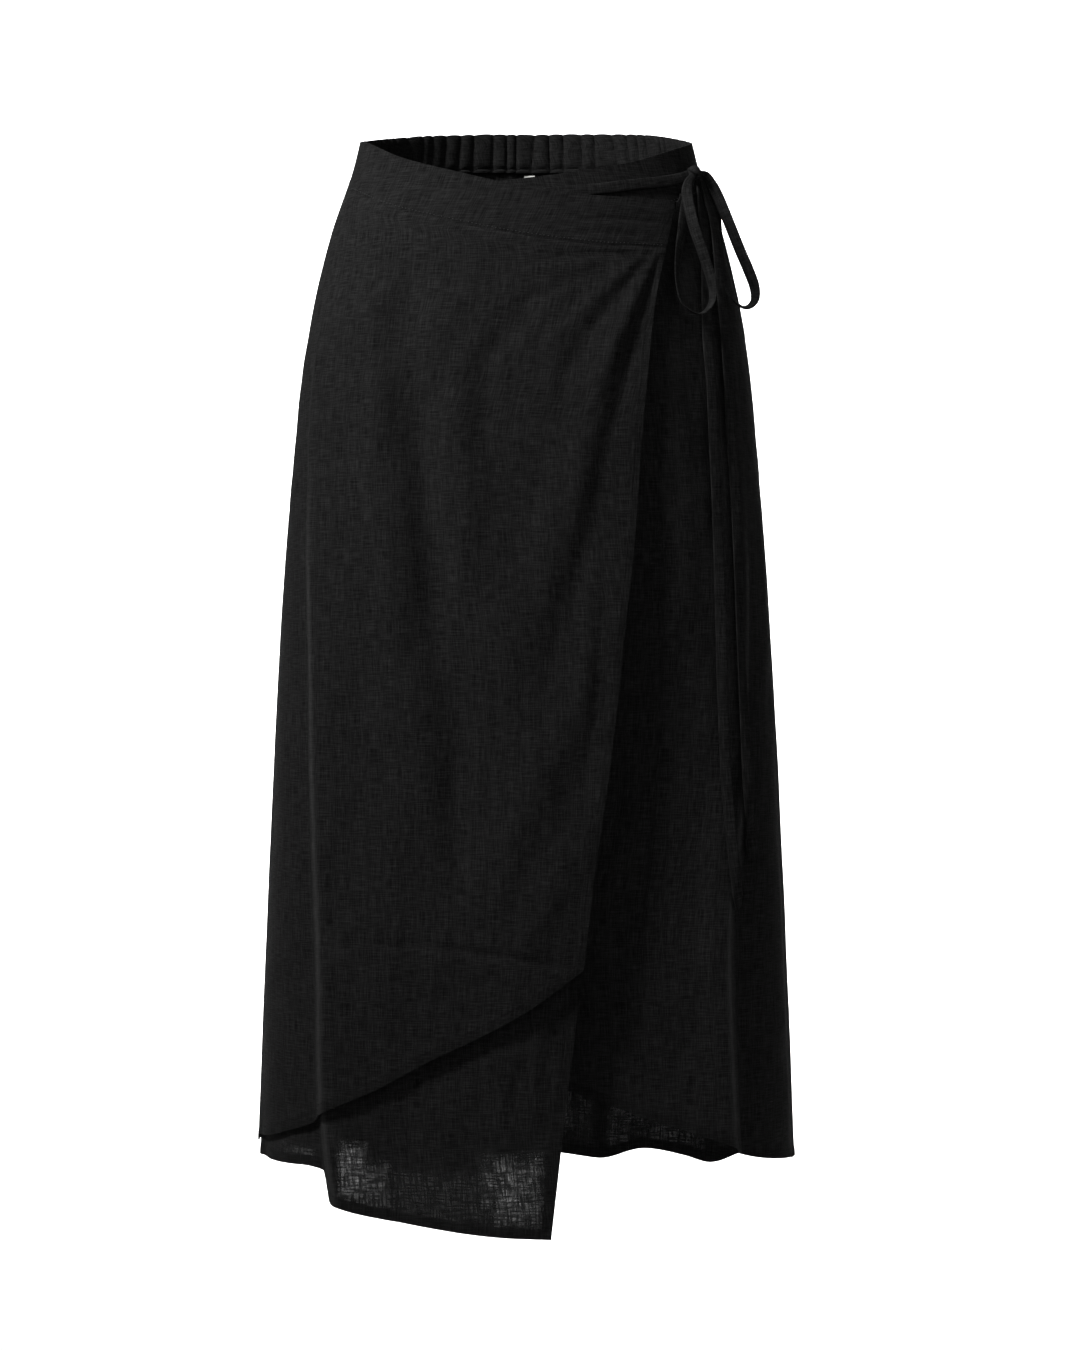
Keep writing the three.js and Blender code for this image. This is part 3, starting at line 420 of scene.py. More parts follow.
def plan(angle: Array, z: Array) -> tuple[Array, Array]:
    """Works out the smooth skirt, without folds.

    Args:
        angle: Each point's angle round the skirt.
        z: Each point's height.

    Returns:
        x and y of each point.
    """
    half_width, front, back, square = (SECTIONS.read("z", z, name) for name in SECTIONS.columns[1:])
    t = np.radians(angle)
    across = (np.sin(t) + square * np.sin(3 * t)) / (1 - square)
    forward = (np.cos(t) - square * np.cos(3 * t)) / (1 - square)
    return half_width * across, -np.where(forward > 0, front, back) * forward


def front_angle(across: Array, z: Array) -> Array:
    """Finds where the smooth skirt's front half stands a distance across.

    Args:
        across: Each point's distance across.
        z: Each point's height.

    Returns:
        The angle of each point.
    """
    low, high = np.full(np.shape(z), -90.0), np.full(np.shape(z), 90.0)
    for _ in range(HALVINGS):
        middle = (low + high) / 2
        inside = plan(middle, z)[0] < across
        low, high = np.where(inside, middle, low), np.where(inside, high, middle)
    return (low + high) / 2


def line_of(across_at: Line, low: float = -90.0, high: float = 90.0) -> Line:
    """Makes a line down the front from its distance across.

    Args:
        across_at: The distance across at each height.
        low: The least angle that it may have.
        high: The greatest.

    Returns:
        A function that gives the line's angle at each height.
    """
    heights = np.linspace(-910.0, 50.0, 800)
    angles = np.clip(front_angle(across_at(heights), heights), low, high)
    return lambda z: np.interp(z, heights, angles)


def edge_height(table: Table, angle: Array) -> Array:
    """Finds the heights of an edge whose table gives them by distance across.

    Args:
        table: The edge, with the columns across and z.
        angle: Each point's angle round the skirt.

    Returns:
        The edge's height at each angle.
    """
    z = np.full(np.shape(angle), float(table.rows[0][1]))
    for _ in range(EDGE_STEPS):
        z = table.read("across", plan(angle, z)[0], "z")
    return z


def crest(angle: Array, centre: Array, below: float, above: float) -> Array:
    """Returns a fold's height from 0 to 1, with its own width on each side of the crest."""
    return np.exp(-(((angle - centre) / np.where(angle < centre, below, above)) ** 2))


def crease_relief(rows: tuple[tuple[float, ...], ...], across: Array, z: Array) -> Array:
    """Works out how far creases raise or sink the cloth.

    Args:
        rows: The creases, with the columns of OUTER_CREASES.
        across: Each point's distance across.
        z: Each point's height.

    Returns:
        The relief at each point, in mm.
    """
    relief = np.zeros(np.broadcast(across, z).shape)
    for from_across, from_z, to_across, to_z, height, from_width, to_width in rows:
        run, drop = to_across - from_across, to_z - from_z
        share = ((across - from_across) * run + (z - from_z) * drop) / (run**2 + drop**2)
        held = np.clip(share, 0, 1)
        width = mix(from_width, to_width, held)
        sway = CREASE_SWAY * width * np.sin(CREASE_TURNS * share + CREASE_SHIFT * from_across)
        away = np.hypot(across - from_across - held * run, z - from_z - held * drop)
        side = np.sign((across - from_across) * drop - (z - from_z) * run)
        along = np.clip((share + CREASE_OVERRUN) / (1 + 2 * CREASE_OVERRUN), 0, 1)
        fade = np.sin(np.pi * along) ** CREASE_FADE
        relief += height * fade * np.exp(-(((side * away - sway) / width) ** 2))
    return relief


def noise(u: Array, v: Array, seed: int) -> Array:
    """Makes smooth noise over a lattice with steps of 1.

    Args:
        u: Each point's first place on the lattice.
        v: Each point's second place.
        seed: Which lattice.

    Returns:
        The noise at each point, from -1 to 1.
    """
    size = 512
    lattice = np.random.default_rng(seed).uniform(-1, 1, (size, size))
    i, j = np.floor(u).astype(int), np.floor(v).astype(int)
    s, t = u - i, v - j
    s, t = s**3 * (s * (6 * s - 15) + 10), t**3 * (t * (6 * t - 15) + 10)
    at = lambda a, b: lattice[(i + a) % size, (j + b) % size]  # noqa: E731
    return mix(mix(at(0, 0), at(1, 0), s), mix(at(0, 1), at(1, 1), s), t)


def crumple(across: Array, z: Array, seed: int, slant: float = 0.0) -> Array:
    """Works out the slight unevenness of washed cloth.

    Args:
        across: Each point's distance across or round the skirt.
        z: Each point's height.
        seed: Which unevenness.
        slant: How far the streaks run across for each mm that they drop.

    Returns:
        The relief at each point, in mm.
    """
    relief = 0.0
    for k, (width, length, turn, depth) in enumerate(CRUMPLES):
        lean = (slant + turn) * z
        relief = relief + depth * noise((across - lean) / width, z / length, seed + k)
    return relief


right_crest = line_of(lambda z: RIGHT_SIDE_FOLD.read("z", z, "across"), RIGHT_SEAM + FOLD_TO_SEAM)
left_crest = line_of(lambda z: LEFT_SIDE_FOLD.read("z", z, "across"), high=LEFT_SEAM - FOLD_TO_SEAM)
outer_free_edge = line_of(lambda z: OUTER_FREE_EDGE.read("z", z, "across"))
inner_free_edge = line_of(lambda z: INNER_FREE_EDGE.read("z", z, "across"))


def right_seam(z: Array) -> Array:
    """Returns the angle of the wearer's right side seam."""
    return np.full(np.shape(z), RIGHT_SEAM - SEAM_LAP)


def left_seam(z: Array) -> Array:
    """Returns the angle of the wearer's left side seam."""
    return np.full(np.shape(z), LEFT_SEAM + SEAM_LAP)


def side_folds(angle: Array, z: Array) -> Array:
    """Works out the two long folds that turn the front to the sides.

    Args:
        angle: Each point's angle round the skirt.
        z: Each point's height.

    Returns:
        The lift at each point, in mm.
    """
    right = crest(angle, right_crest(z), FOLD_STEEP_SIDE, FOLD_GENTLE_SIDE)
    left = crest(angle, left_crest(z), FOLD_GENTLE_SIDE, FOLD_STEEP_SIDE)
    return RIGHT_SIDE_FOLD.read("z", z, "height") * right + LEFT_SIDE_FOLD.read("z", z, "height") * left


def drape_line(fold: tuple[float, ...]) -> Line:
    """Returns the centre line of one of DRAPE_FOLDS."""
    from_z, from_across, to_z, to_across = fold[:4]
    return line_of(lambda z: mix(from_across, to_across, (z - from_z) / (to_z - from_z)))


DRAPE_LINES = tuple(drape_line(fold) for fold in DRAPE_FOLDS)


def drape_folds(angle: Array, z: Array) -> Array:
    """Works out the soft folds that hang from the tied corner.

    Args:
        angle: Each point's angle round the skirt.
        z: Each point's height.

    Returns:
        The lift at each point, in mm.
    """
    relief = 0.0
    for line, (from_z, _, to_z, _, height, right_flank, left_flank) in zip(DRAPE_LINES, DRAPE_FOLDS):
        share = np.clip((z - from_z) / (to_z - from_z), 0, 1)
        rise = height * np.sin(np.pi * share) ** 2
        relief = relief + rise * crest(angle, line(z), right_flank, left_flank)
    return relief


def towards_free_edge(angle: Array, z: Array) -> Array:
    """Returns how much of the way to the outer free edge an angle is, 0 at the wearer's right seam."""
    return np.clip((angle - RIGHT_SEAM) / (outer_free_edge(z) - RIGHT_SEAM), 0, 1)


def layer_pitch(z: Array) -> Array:
    """Returns the distance from one hanging layer to the next."""
    return mix(PITCH_TOP, PITCH_LOW, ease(-z, *PITCH_DROP))


def below_band(z: Array) -> Array:
    """Returns how free of the waistband the cloth hangs, from 0 to 1."""
    return ease(-z, *FREE_DROP)


def outer_layers(angle: Array, z: Array) -> Array:
    """Works out the lift that the wrap's two outer layers share, which is the short layer's own.

    Args:
        angle: Each point's angle round the skirt.
        z: Each point's height.

    Returns:
        The lift at each point, in mm.
    """
    lift = OUTER_LIFT * ease(-z, *OUTER_LIFT_DROP) * ease(towards_free_edge(angle, z), *OUTER_LIFT_REACH)
    across = plan(angle, z)[0]
    slant = mix(SLANT_TOP, SLANT_LOW, ease(-z, *SLANT_DROP))
    small = crease_relief(OUTER_CREASES, across, z) + below_band(z) * crumple(across, z, SEED_OUTER, slant)
    sewn = ease(angle, RIGHT_SEAM, RIGHT_SEAM + SEWN_FADE)
    return side_folds(angle, z) + drape_folds(angle, z) + lift + sewn * small


def long_layer(angle: Array, z: Array) -> Array:
    """Works out the lift of the outer front's long layer.

    Args:
        angle: Each point's angle round the skirt.
        z: Each point's height.

    Returns:
        The lift at each point, in mm.
    """
    gap = LONG_LAYER_GAP * ease(-z, *LONG_GAP_DROP) * ease(towards_free_edge(angle, z), *LONG_GAP_REACH)
    small = crease_relief(LONG_LAYER_CREASES, plan(angle, z)[0], z)
    at_seam = 1 - ease(angle, RIGHT_SEAM, RIGHT_SEAM + LAPPED_FADE)
    return outer_layers(angle, z) - layer_pitch(z) * (1 - at_seam / 2) - gap + small


def under_wrap(angle: Array, z: Array) -> Array:
    """Returns how far under the wrap an angle is, from 1 to 0 at the left side seam."""
    return 1 - ease(angle, outer_free_edge(z), LEFT_SEAM - 2)


def inner_panel_plain(angle: Array, z: Array) -> Array:
    """Returns the lift of the inner panel without its creases, which the ties hang by."""
    below = 2 * layer_pitch(z) + INNER_CLEARANCE + INNER_SAG * ease(-z, *INNER_SAG_DROP)
    return side_folds(angle, z) * ease(angle, *INNER_FOLD_REACH) - under_wrap(angle, z) * below


def inner_panel(angle: Array, z: Array) -> Array:
    """Works out the lift of the panel that the wrap covers.

    Args:
        angle: Each point's angle round the skirt.
        z: Each point's height.

    Returns:
        The lift at each point, in mm.
    """
    across = plan(angle, z)[0]
    small = crease_relief(INNER_CREASES, across, z) + below_band(z) * crumple(across, z, SEED_INNER)
    start, end = (outer_free_edge(z) + degrees for degrees in INNER_FADE_IN)
    free = ease(angle, start, end) * ease(-angle, -LEFT_SEAM, INNER_FADE_OUT - LEFT_SEAM)
    pressed = np.minimum(crease_relief(OUTER_CREASES[:SHARED_CREASES], across, z), 0)
    return inner_panel_plain(angle, z) + under_wrap(angle, z) * pressed + free * small


def outer_band(angle: Array, z: Array) -> Array:
    """Returns the lift of the outer waistband, which is all but smooth."""
    across = plan(angle, z)[0]
    return BAND_CRUMPLE * crumple(across, z / 2, SEED_BAND) + crease_relief(BAND_CREASES, across, z)


def inner_band(angle: Array, z: Array) -> Array:
    """Returns the lift of the inner waistband, which leaves room for the strap on it."""
    return -STRAP_BED * (1 - ease(angle, INNER_BAND_BED, LEFT_SEAM)) + 0 * z


def back_panel(angle: Array, z: Array) -> Array:
    """Works out the back's gathers, which fade below the elastic, and its waves, which grow to the hem.

    Args:
        angle: Each point's angle round the skirt.
        z: Each point's height.

    Returns:
        The lift at each point, in mm.
    """
    share = (angle - LEFT_SEAM) / BACK_SPAN
    at_seams = ease(share, 0, BACK_SEAM_SHARE) * ease(1 - share, 0, BACK_SEAM_SHARE)
    drift = BACK_DRIFT * np.sin(2 * np.pi * (BACK_DRIFT_TURNS * share + BACK_DRIFT_START))
    depth = PANEL_GATHER_DEPTH * (1 - ease(-z, *GATHER_DROP))
    depth = depth * mix(GATHER_START, 1, ease(-z, *GATHER_START_DROP))
    gathers = depth * np.cos(2 * np.pi * PANEL_GATHERS * share + 2 * drift)
    uneven = 1 + WAVE_UNEVEN * np.sin(2 * np.pi * (WAVE_UNEVEN_TURNS * share + WAVE_UNEVEN_START))
    depth = BACK_WAVE_DEPTH * uneven * ease(-z, *BACK_WAVE_DROP)
    waves = depth * np.cos(2 * np.pi * BACK_WAVES * share + drift)
    small = crease_relief(BACK_CREASES, plan(angle, z)[0], z)
    small = small + below_band(z) * crumple(MM_PER_DEGREE * angle, z, SEED_BACK)
    return at_seams * (gathers + waves + small)


def smooth_form(angle: Array, z: Array) -> Array:
    """Returns no lift: the smooth skirt itself."""
    return np.zeros(np.broadcast(angle, z).shape)


def place(surface: Surface, angle: Array, z: Array, inset: Array | float = 0.0) -> Array:
    """Puts points on the cloth.

    Args:
        surface: How far the cloth's outer face stands off the smooth skirt.
        angle: Each point's angle round the skirt.
        z: Each point's height.
        inset: How far each point lies inside the outer face.

    Returns:
        The points, with x, y and z along the last axis.
    """

    def folded(at: Array) -> tuple[Array, Array]:
        """Returns x and y of the folded skirt at angles."""
        x, y = plan(at, z)
        (x1, y1), (x0, y0) = plan(at + SIDE_TURN, z), plan(at - SIDE_TURN, z)
        lift = surface(at, z) / np.hypot(x1 - x0, y1 - y0)
        return x + (y1 - y0) * lift, y - (x1 - x0) * lift

    (x, y), (x1, y1), (x0, y0) = folded(angle), folded(angle + SIDE_TURN), folded(angle - SIDE_TURN)
    depth = inset / np.hypot(x1 - x0, y1 - y0)
    return np.stack(np.broadcast_arrays(x - (y1 - y0) * depth, y + (x1 - x0) * depth, z), -1)


def off_surface(surface: Surface, angle: Array, z: Array, distance: Array | float) -> tuple[Array, Array]:
    """Finds points that stand off a surface.

    Args:
        surface: The cloth's lift.
        angle: Each point's angle round the skirt.
        z: Each point's height.
        distance: How far each point stands off it.

    Returns:
        The points, and the way straight out of the surface there.
    """
    side, reach = 1.0, 3.0
    along = place(surface, angle + side, z) - place(surface, angle - side, z)
    rise = place(surface, angle, z + reach) - place(surface, angle, z - reach)
    out = unit(np.cross(along, rise))
    return place(surface, angle, z) + out * np.asarray(distance)[..., None], out


# Meshes


def new_object(name: str, points: Array, faces: list, flat: Array | None = None) -> bpy.types.Object:
    """Makes a mesh object from points in mm.

    Args:
        name: The piece's name.
        points: Its points, in mm.
        faces: Its faces, as point numbers.
        flat: Each point's place on the flat cloth in mm, for the UV map.

    Returns:
        The object, at the origin.
    """
    mesh = bpy.data.meshes.new(name)
    mesh.from_pydata((points * MM).tolist(), [], faces)
    if flat is not None:
        layer = mesh.uv_layers.new(name="cloth")
        corner = np.zeros(len(mesh.loops), np.int32)
        mesh.loops.foreach_get("vertex_index", corner)
        layer.data.foreach_set("uv", (flat[corner] * MM).astype(np.float32).ravel())
    mesh.validate()
    made = bpy.data.objects.new(name, mesh)
    bpy.context.scene.collection.objects.link(made)
    return made


def select_only(piece: bpy.types.Object) -> None:
    """Makes one object the selected and active one.

    Args:
        piece: The object.
    """
    bpy.ops.object.select_all(action="DESELECT")
    piece.select_set(True)
    bpy.context.view_layer.objects.active = piece


def smooth(piece: bpy.types.Object, angle: float = 50.0) -> None:
    """Shades a piece smooth, with edges sharper than the angle left sharp."""
    select_only(piece)
    bpy.ops.object.shade_smooth_by_angle(angle=math.radians(angle))


def mark(piece: bpy.types.Object, name: str, values: Array) -> None:
    """Stores a number at each point of a piece, for its material to read."""
    layer = piece.data.attributes.new(name, "FLOAT", "POINT")
    layer.data.foreach_set("value", values.astype(np.float32).ravel())


def quads(a: Array, b: Array, c: Array, d: Array) -> Array:
    """Returns faces of four corners from four arrays of point numbers."""
    return np.stack([a, b, c, d], -1).reshape(-1, 4)


def wall(name: str, outer: Array, inner: Array, flat: Array, marks: dict[str, Array]) -> bpy.types.Object:
    """Closes a wall of cloth between an outer and an inner face.

    Args:
        name: The piece's name.
        outer: The outer face's points by column and row.
        inner: The inner face's points.
        flat: Each point's place on the flat cloth, in mm.
        marks: Numbers by column and row for the material to read.

    Returns:
        The wall.
    """
    columns, rows = outer.shape[:2]
    out, back = np.arange(2 * columns * rows).reshape(2, columns, rows)
    faces = np.concatenate(
        [
            quads(out[:-1, :-1], out[:-1, 1:], out[1:, 1:], out[1:, :-1]),
            quads(back[:-1, :-1], back[1:, :-1], back[1:, 1:], back[:-1, 1:]),
            quads(out[:-1, 0], out[1:, 0], back[1:, 0], back[:-1, 0]),
            quads(out[:-1, -1], back[:-1, -1], back[1:, -1], out[1:, -1]),
            quads(out[0, :-1], back[0, :-1], back[0, 1:], out[0, 1:]),
            quads(out[-1, :-1], out[-1, 1:], back[-1, 1:], back[-1, :-1]),
        ]
    )
    points = np.concatenate([outer.reshape(-1, 3), inner.reshape(-1, 3)])
    both = np.tile(flat.reshape(-1, 2), (2, 1))
    piece = new_object(name, points, faces.tolist(), both)
    for key, values in marks.items():
        mark(piece, key, np.tile(values.reshape(-1), 2))
    smooth(piece)
    return piece


def spread(marks: tuple[tuple[float, int], ...]) -> Array:
    """Spreads shares from 0 to 1.

    Args:
        marks: Shares, each with the number of even steps to the next one.

    Returns:
        The shares.
    """
    parts = [
        np.linspace(at, after[0], steps, endpoint=False) for (at, steps), after in zip(marks, marks[1:])
    ]
    return np.concatenate([*parts, [marks[-1][0]]])


def distances(points: Array, axis: int) -> Array:
    """Measures along points.

    Args:
        points: The points.
        axis: The axis that runs along them.

    Returns:
        Each point's distance from the first one.
    """
    steps = np.linalg.norm(np.diff(points, axis=axis), axis=-1)
    start = np.zeros_like(np.take(steps, [0], axis=axis))
    return np.concatenate([start, np.cumsum(steps, axis=axis)], axis=axis)


def resample(points: Array, pitch: float) -> tuple[Array, Array]:
    """Puts even points along a line.

    Args:
        points: The line.
        pitch: How far apart they are to be.

    Returns:
        The points, and the way that the line runs at each.
    """
    along = distances(points, 0)
    places = np.arange(pitch, along[-1] - pitch, pitch)
    read = lambda at: np.stack([np.interp(at, along, points[:, k]) for k in range(3)], -1)  # noqa: E731
    return read(places), unit(read(places + pitch / 2) - read(places - pitch / 2))


# Finishes


def linear(colour: str) -> tuple[float, float, float, float]:
    """Turns an sRGB hex colour to linear light."""
    parts = [int(colour[i : i + 2], 16) / 255 for i in (1, 3, 5)]
    return (*(c / 12.92 if c <= 0.04045 else ((c + 0.055) / 1.055) ** 2.4 for c in parts), 1.0)


def add_node(tree: bpy.types.NodeTree, kind: str, settings: dict | None = None, inputs: dict | None = None):
    """Adds a node with its settings and links.

    Args:
        tree: The material's node tree.
        kind: The node's type.
        settings: Its own settings by name.
        inputs: Each input by name or number: a value, or the output socket to link.

    Returns:
        The node.
    """
    node = tree.nodes.new(kind)
    for key, value in (settings or {}).items():
        setattr(node, key, value)
    for key, value in (inputs or {}).items():
        if isinstance(value, bpy.types.NodeSocket):
            tree.links.new(value, node.inputs[key])
        else:
            node.inputs[key].default_value = value
    return node


def new_material(name: str) -> tuple[bpy.types.Material, bpy.types.Node]:
    """Makes a material with its shader.

    Args:
        name: The material's name.

    Returns:
        The material and its shader node.
    """
    material = bpy.data.materials.new(name)
    material.use_nodes = True
    return material, material.node_tree.nodes["Principled BSDF"]


@dataclass(frozen=True)
class Linen:
    """Washed plain-weave linen, dyed near black: matt, with thicker threads both ways and a faint bloom.

    Its real threads are about 0.45 mm apart, too fine for the render, so the weave is drawn 1.3 mm apart.
    """

    name: str = "washed_linen_plain_weave"
    shade: str = "#060606"
    light: str = "#1f1f1f"
    roughness: float = 0.92
    shine: float = 0.03
    sheen: float = 0.008
    sheen_roughness: float = 0.5
    slub: Span = (0.8, 15.0)  # mm across and along a thick thread
    streak: Span = (4.0, 60.0)  # mm across and down the dye's faint streaks
    gap: Span = (1.3, 16.0)  # mm across and along the gap of two threads that stand apart, as drawn
    slub_steps: Span = (0.3, 0.8)  # the noise at which a thread starts to thicken, and is thick
    gap_steps: Span = (0.36, 0.66)
    slub_light: float = 0.6  # how much of the lighter shade a thick thread has
    streak_light: float = 0.2
    painted_highlight_strength: float = 1.1  # painted highlight: how much of the lighter shade the threads over a sharp fold get, for the crest's sheen and the light through it
    hem_dark: float = 0.24  # how much darker a hem is, where nothing shines through
    gap_clear: float = 0.22  # how much light one face lets through between the threads
    haze: float = 0.06  # how much it lets through elsewhere
    detail: float = 2.0  # finer and finer noise on the first one
    detail_strength: float = 0.55
    thread: float = 1.3  # mm from thread to thread, as drawn
    thread_relief: float = 0.35
    bump: float = 0.55
    bump_height: float = 0.00022  # m

    def material(self) -> bpy.types.Material:
        """Builds the cloth's material from its thread sizes.

        Returns:
            The material.
        """
        material, shader = new_material(self.name)
        tree = material.node_tree
        uv = add_node(tree, "ShaderNodeUVMap", {"uv_map": "cloth"}).outputs[0]
        made = {}
        for key, size, (low, high), seed in (
            ("down", self.slub, self.slub_steps, 3.1),
            ("across", self.slub[::-1], self.slub_steps, 7.7),
            ("streak", self.streak, self.slub_steps, 1.3),
            ("gap_down", self.gap, self.gap_steps, 12.9),
            ("gap_across", self.gap[::-1], self.gap_steps, 17.3),
        ):
            scale = (1 / (size[0] * MM), 1 / (size[1] * MM), 1)
            place_in = {"Vector": uv, "Location": (seed, seed, 0), "Scale": scale}
            spot = add_node(tree, "ShaderNodeMapping", None, place_in).outputs[0]
            look = {"Vector": spot, "Scale": 1.0, "Detail": self.detail, "Roughness": self.detail_strength}
            drawn = add_node(tree, "ShaderNodeTexNoise", {"noise_dimensions": "2D"}, look).outputs["Fac"]
            eased = {"interpolation_type": "SMOOTHSTEP"}
            limits = {"Value": drawn, "From Min": low, "From Max": high}
            made[key] = add_node(tree, "ShaderNodeMapRange", eased, limits).outputs[0]
        for key in ("painted_crest_highlight", "hem", "open"):
            made[key] = add_node(tree, "ShaderNodeAttribute", {"attribute_name": key}).outputs["Fac"]
        turn = {"Vector": uv, "Scale": (1 / (self.thread * MM),) * 3}
        squares = add_node(tree, "ShaderNodeMapping", None, turn).outputs[0]
        weave = {"Vector": squares, "Scale": 1.0, "Color1": (1, 1, 1, 1), "Color2": (0, 0, 0, 1)}
        made["weave"] = add_node(tree, "ShaderNodeTexChecker", None, weave).outputs["Fac"]
        for key, operation, first, second in (
            ("slubs", "ADD", "down", "across"),
            ("thick", "MULTIPLY", "slubs", self.slub_light),
            ("dye", "MULTIPLY", "streak", self.streak_light),
            ("tone", "ADD", "thick", "dye"),
            # painted highlight along the crests of sharp folds, added to the tone
            ("crest", "MULTIPLY", "painted_crest_highlight", self.painted_highlight_strength),
            ("tone", "ADD", "tone", "crest"),
            ("darker", "MULTIPLY", "hem", self.hem_dark),
            ("kept", "SUBTRACT", 1.0, "darker"),
            ("tone", "MULTIPLY", "tone", "kept"),
            ("gaps", "MULTIPLY", "gap_down", "gap_across"),
            ("gaps", "MULTIPLY", "gaps", self.gap_clear),
            ("clear", "ADD", "gaps", self.haze),
            ("clear", "MULTIPLY", "clear", "open"),
            ("single", "SUBTRACT", 1.0, "hem"),
            ("clear", "MULTIPLY", "clear", "single"),
            ("alpha", "SUBTRACT", 1.0, "clear"),
            ("threads", "MULTIPLY", "weave", self.thread_relief),
            ("relief", "ADD", "threads", "slubs"),
        ):
            values = {0: made.get(first, first), 1: made.get(second, second)}
            made[key] = add_node(tree, "ShaderNodeMath", {"operation": operation}, values).outputs[0]
        free = {"data_type": "RGBA", "clamp_factor": False}
        shades = {"Factor": made["tone"], 6: linear(self.shade), 7: linear(self.light)}
        colour = add_node(tree, "ShaderNodeMix", free, shades).outputs[2]
        relief = {"Strength": self.bump, "Distance": self.bump_height, "Height": made["relief"]}
        normal = add_node(tree, "ShaderNodeBump", None, relief).outputs[0]
        for key, value in {"Base Color": colour, "Alpha": made["alpha"], "Normal": normal}.items():
            tree.links.new(value, shader.inputs[key])
        for key, value in {
            "Roughness": self.roughness,
            "Specular IOR Level": self.shine,
            "Sheen Weight": self.sheen,
            "Sheen Roughness": self.sheen_roughness,
        }.items():
            shader.inputs[key].default_value = value
        return material


@dataclass(frozen=True)
class Thread:
    """Sewing thread of two twisted plies, near black: polyester in the hems, where it sinks in the cloth."""

    name: str = "polyester_sewing_thread"
    colour: str = "#030303"
    light: str = "#0a0a0a"
    roughness: float = 0.8
    shine: float = 0.05
    ply: float = 0.9  # mm, one turn of the plies
    slant: Place = (0.6, 0.5, 0.3)
    wave: float = 0.3
    wander: float = 1.0
    bump: float = 0.4
    bump_height: float = 0.0001  # m

    def material(self) -> bpy.types.Material:
        """Builds the thread's material, with the slanting turns of its plies.

        Returns:
            The material.
        """
        material, shader = new_material(self.name)
        tree = material.node_tree
        spot = add_node(tree, "ShaderNodeTexCoord").outputs["Object"]
        turn = {"Vector": spot, "Rotation": self.slant, "Scale": (1 / (self.ply * MM),) * 3}
        turned = add_node(tree, "ShaderNodeMapping", None, turn).outputs[0]
        twist = {"Vector": turned, "Scale": self.wave, "Distortion": self.wander}
        plies = add_node(tree, "ShaderNodeTexWave", None, twist).outputs["Fac"]
        shades = {"Factor": plies, 6: linear(self.colour), 7: linear(self.light)}
        colour = add_node(tree, "ShaderNodeMix", {"data_type": "RGBA"}, shades).outputs[2]
        relief = {"Strength": self.bump, "Distance": self.bump_height, "Height": plies}
        tree.links.new(colour, shader.inputs["Base Color"])
        tree.links.new(add_node(tree, "ShaderNodeBump", None, relief).outputs[0], shader.inputs["Normal"])
        shader.inputs["Roughness"].default_value = self.roughness
        shader.inputs["Specular IOR Level"].default_value = self.shine
        return material


@dataclass(frozen=True)
class Tape:
    """White polyester satin tape, woven narrow, with the fine ribs of its weft."""

    name: str = "polyester_satin_tape"
    colour: str = "#d6d6d2"
    shade: str = "#b4b4b0"
    roughness: float = 0.55
    rib: float = 0.8  # mm from rib to rib, as drawn
    wave: float = 0.3
    wander: float = 0.6
    bump: float = 0.3
    bump_height: float = 0.0001  # m

    def material(self) -> bpy.types.Material:
        """Builds the tape's material from its rib.

        Returns:
            The material.
        """
        material, shader = new_material(self.name)
        tree = material.node_tree
        uv = add_node(tree, "ShaderNodeUVMap", {"uv_map": "cloth"}).outputs[0]
        turn = {"Vector": uv, "Scale": (1 / (self.rib * MM),) * 3}
        turned = add_node(tree, "ShaderNodeMapping", None, turn).outputs[0]
        weft = {"Vector": turned, "Scale": self.wave, "Distortion": self.wander}
        ribs = add_node(tree, "ShaderNodeTexWave", {"bands_direction": "Y"}, weft).outputs["Fac"]
        shades = {"Factor": ribs, 6: linear(self.shade), 7: linear(self.colour)}
        colour = add_node(tree, "ShaderNodeMix", {"data_type": "RGBA"}, shades).outputs[2]
        relief = {"Strength": self.bump, "Distance": self.bump_height, "Height": ribs}
        tree.links.new(colour, shader.inputs["Base Color"])
        tree.links.new(add_node(tree, "ShaderNodeBump", None, relief).outputs[0], shader.inputs["Normal"])
        shader.inputs["Roughness"].default_value = self.roughness
        return material


@dataclass(frozen=True)
class Paper:
    """Matt white backdrop paper."""

    name: str = "backdrop_paper"
    colour: str = "#f2f2f2"

    def material(self) -> bpy.types.Material:
        """Builds the paper's material.

        Returns:
            The material.
        """
        material, shader = new_material(self.name)
        shader.inputs["Base Color"].default_value = linear(self.colour)
        shader.inputs["Roughness"].default_value = 1.0
        shader.inputs["Specular IOR Level"].default_value = 0.0
        return material


class Slot(Enum):
    """Names of material slots."""

    LINEN = "linen"
    LABEL = "label_cloth"


class Held(Enum):
    """How a sheet of cloth is held."""

    HUNG = "hung"
    GATHERED = "gathered"
    STRETCHED = "stretched"


def dress(
    piece: bpy.types.Object, material: bpy.types.Material, slot: Slot, *nodes: str
) -> bpy.types.Object:
    """Gives a piece its material, its body and the nodes that it stands for.

    Args:
        piece: The piece.
        material: Its material.
        slot: Not used.
        nodes: The CAD nodes that it replaces.

    Returns:
        The piece.
    """
    piece.data.materials.clear()
    piece.data.materials.append(material)
    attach(piece, BODY)
    if nodes:
        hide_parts(*nodes)
    LOG.info("%s: %d faces", piece.name, len(piece.data.polygons))
    return piece


# The studio


@dataclass(frozen=True)
class SoftBox:
    """One square soft box."""

    name: str
    place: Place
    aimed_at: Place
    size: float
    power: float
    spread: float = 180.0  # degrees


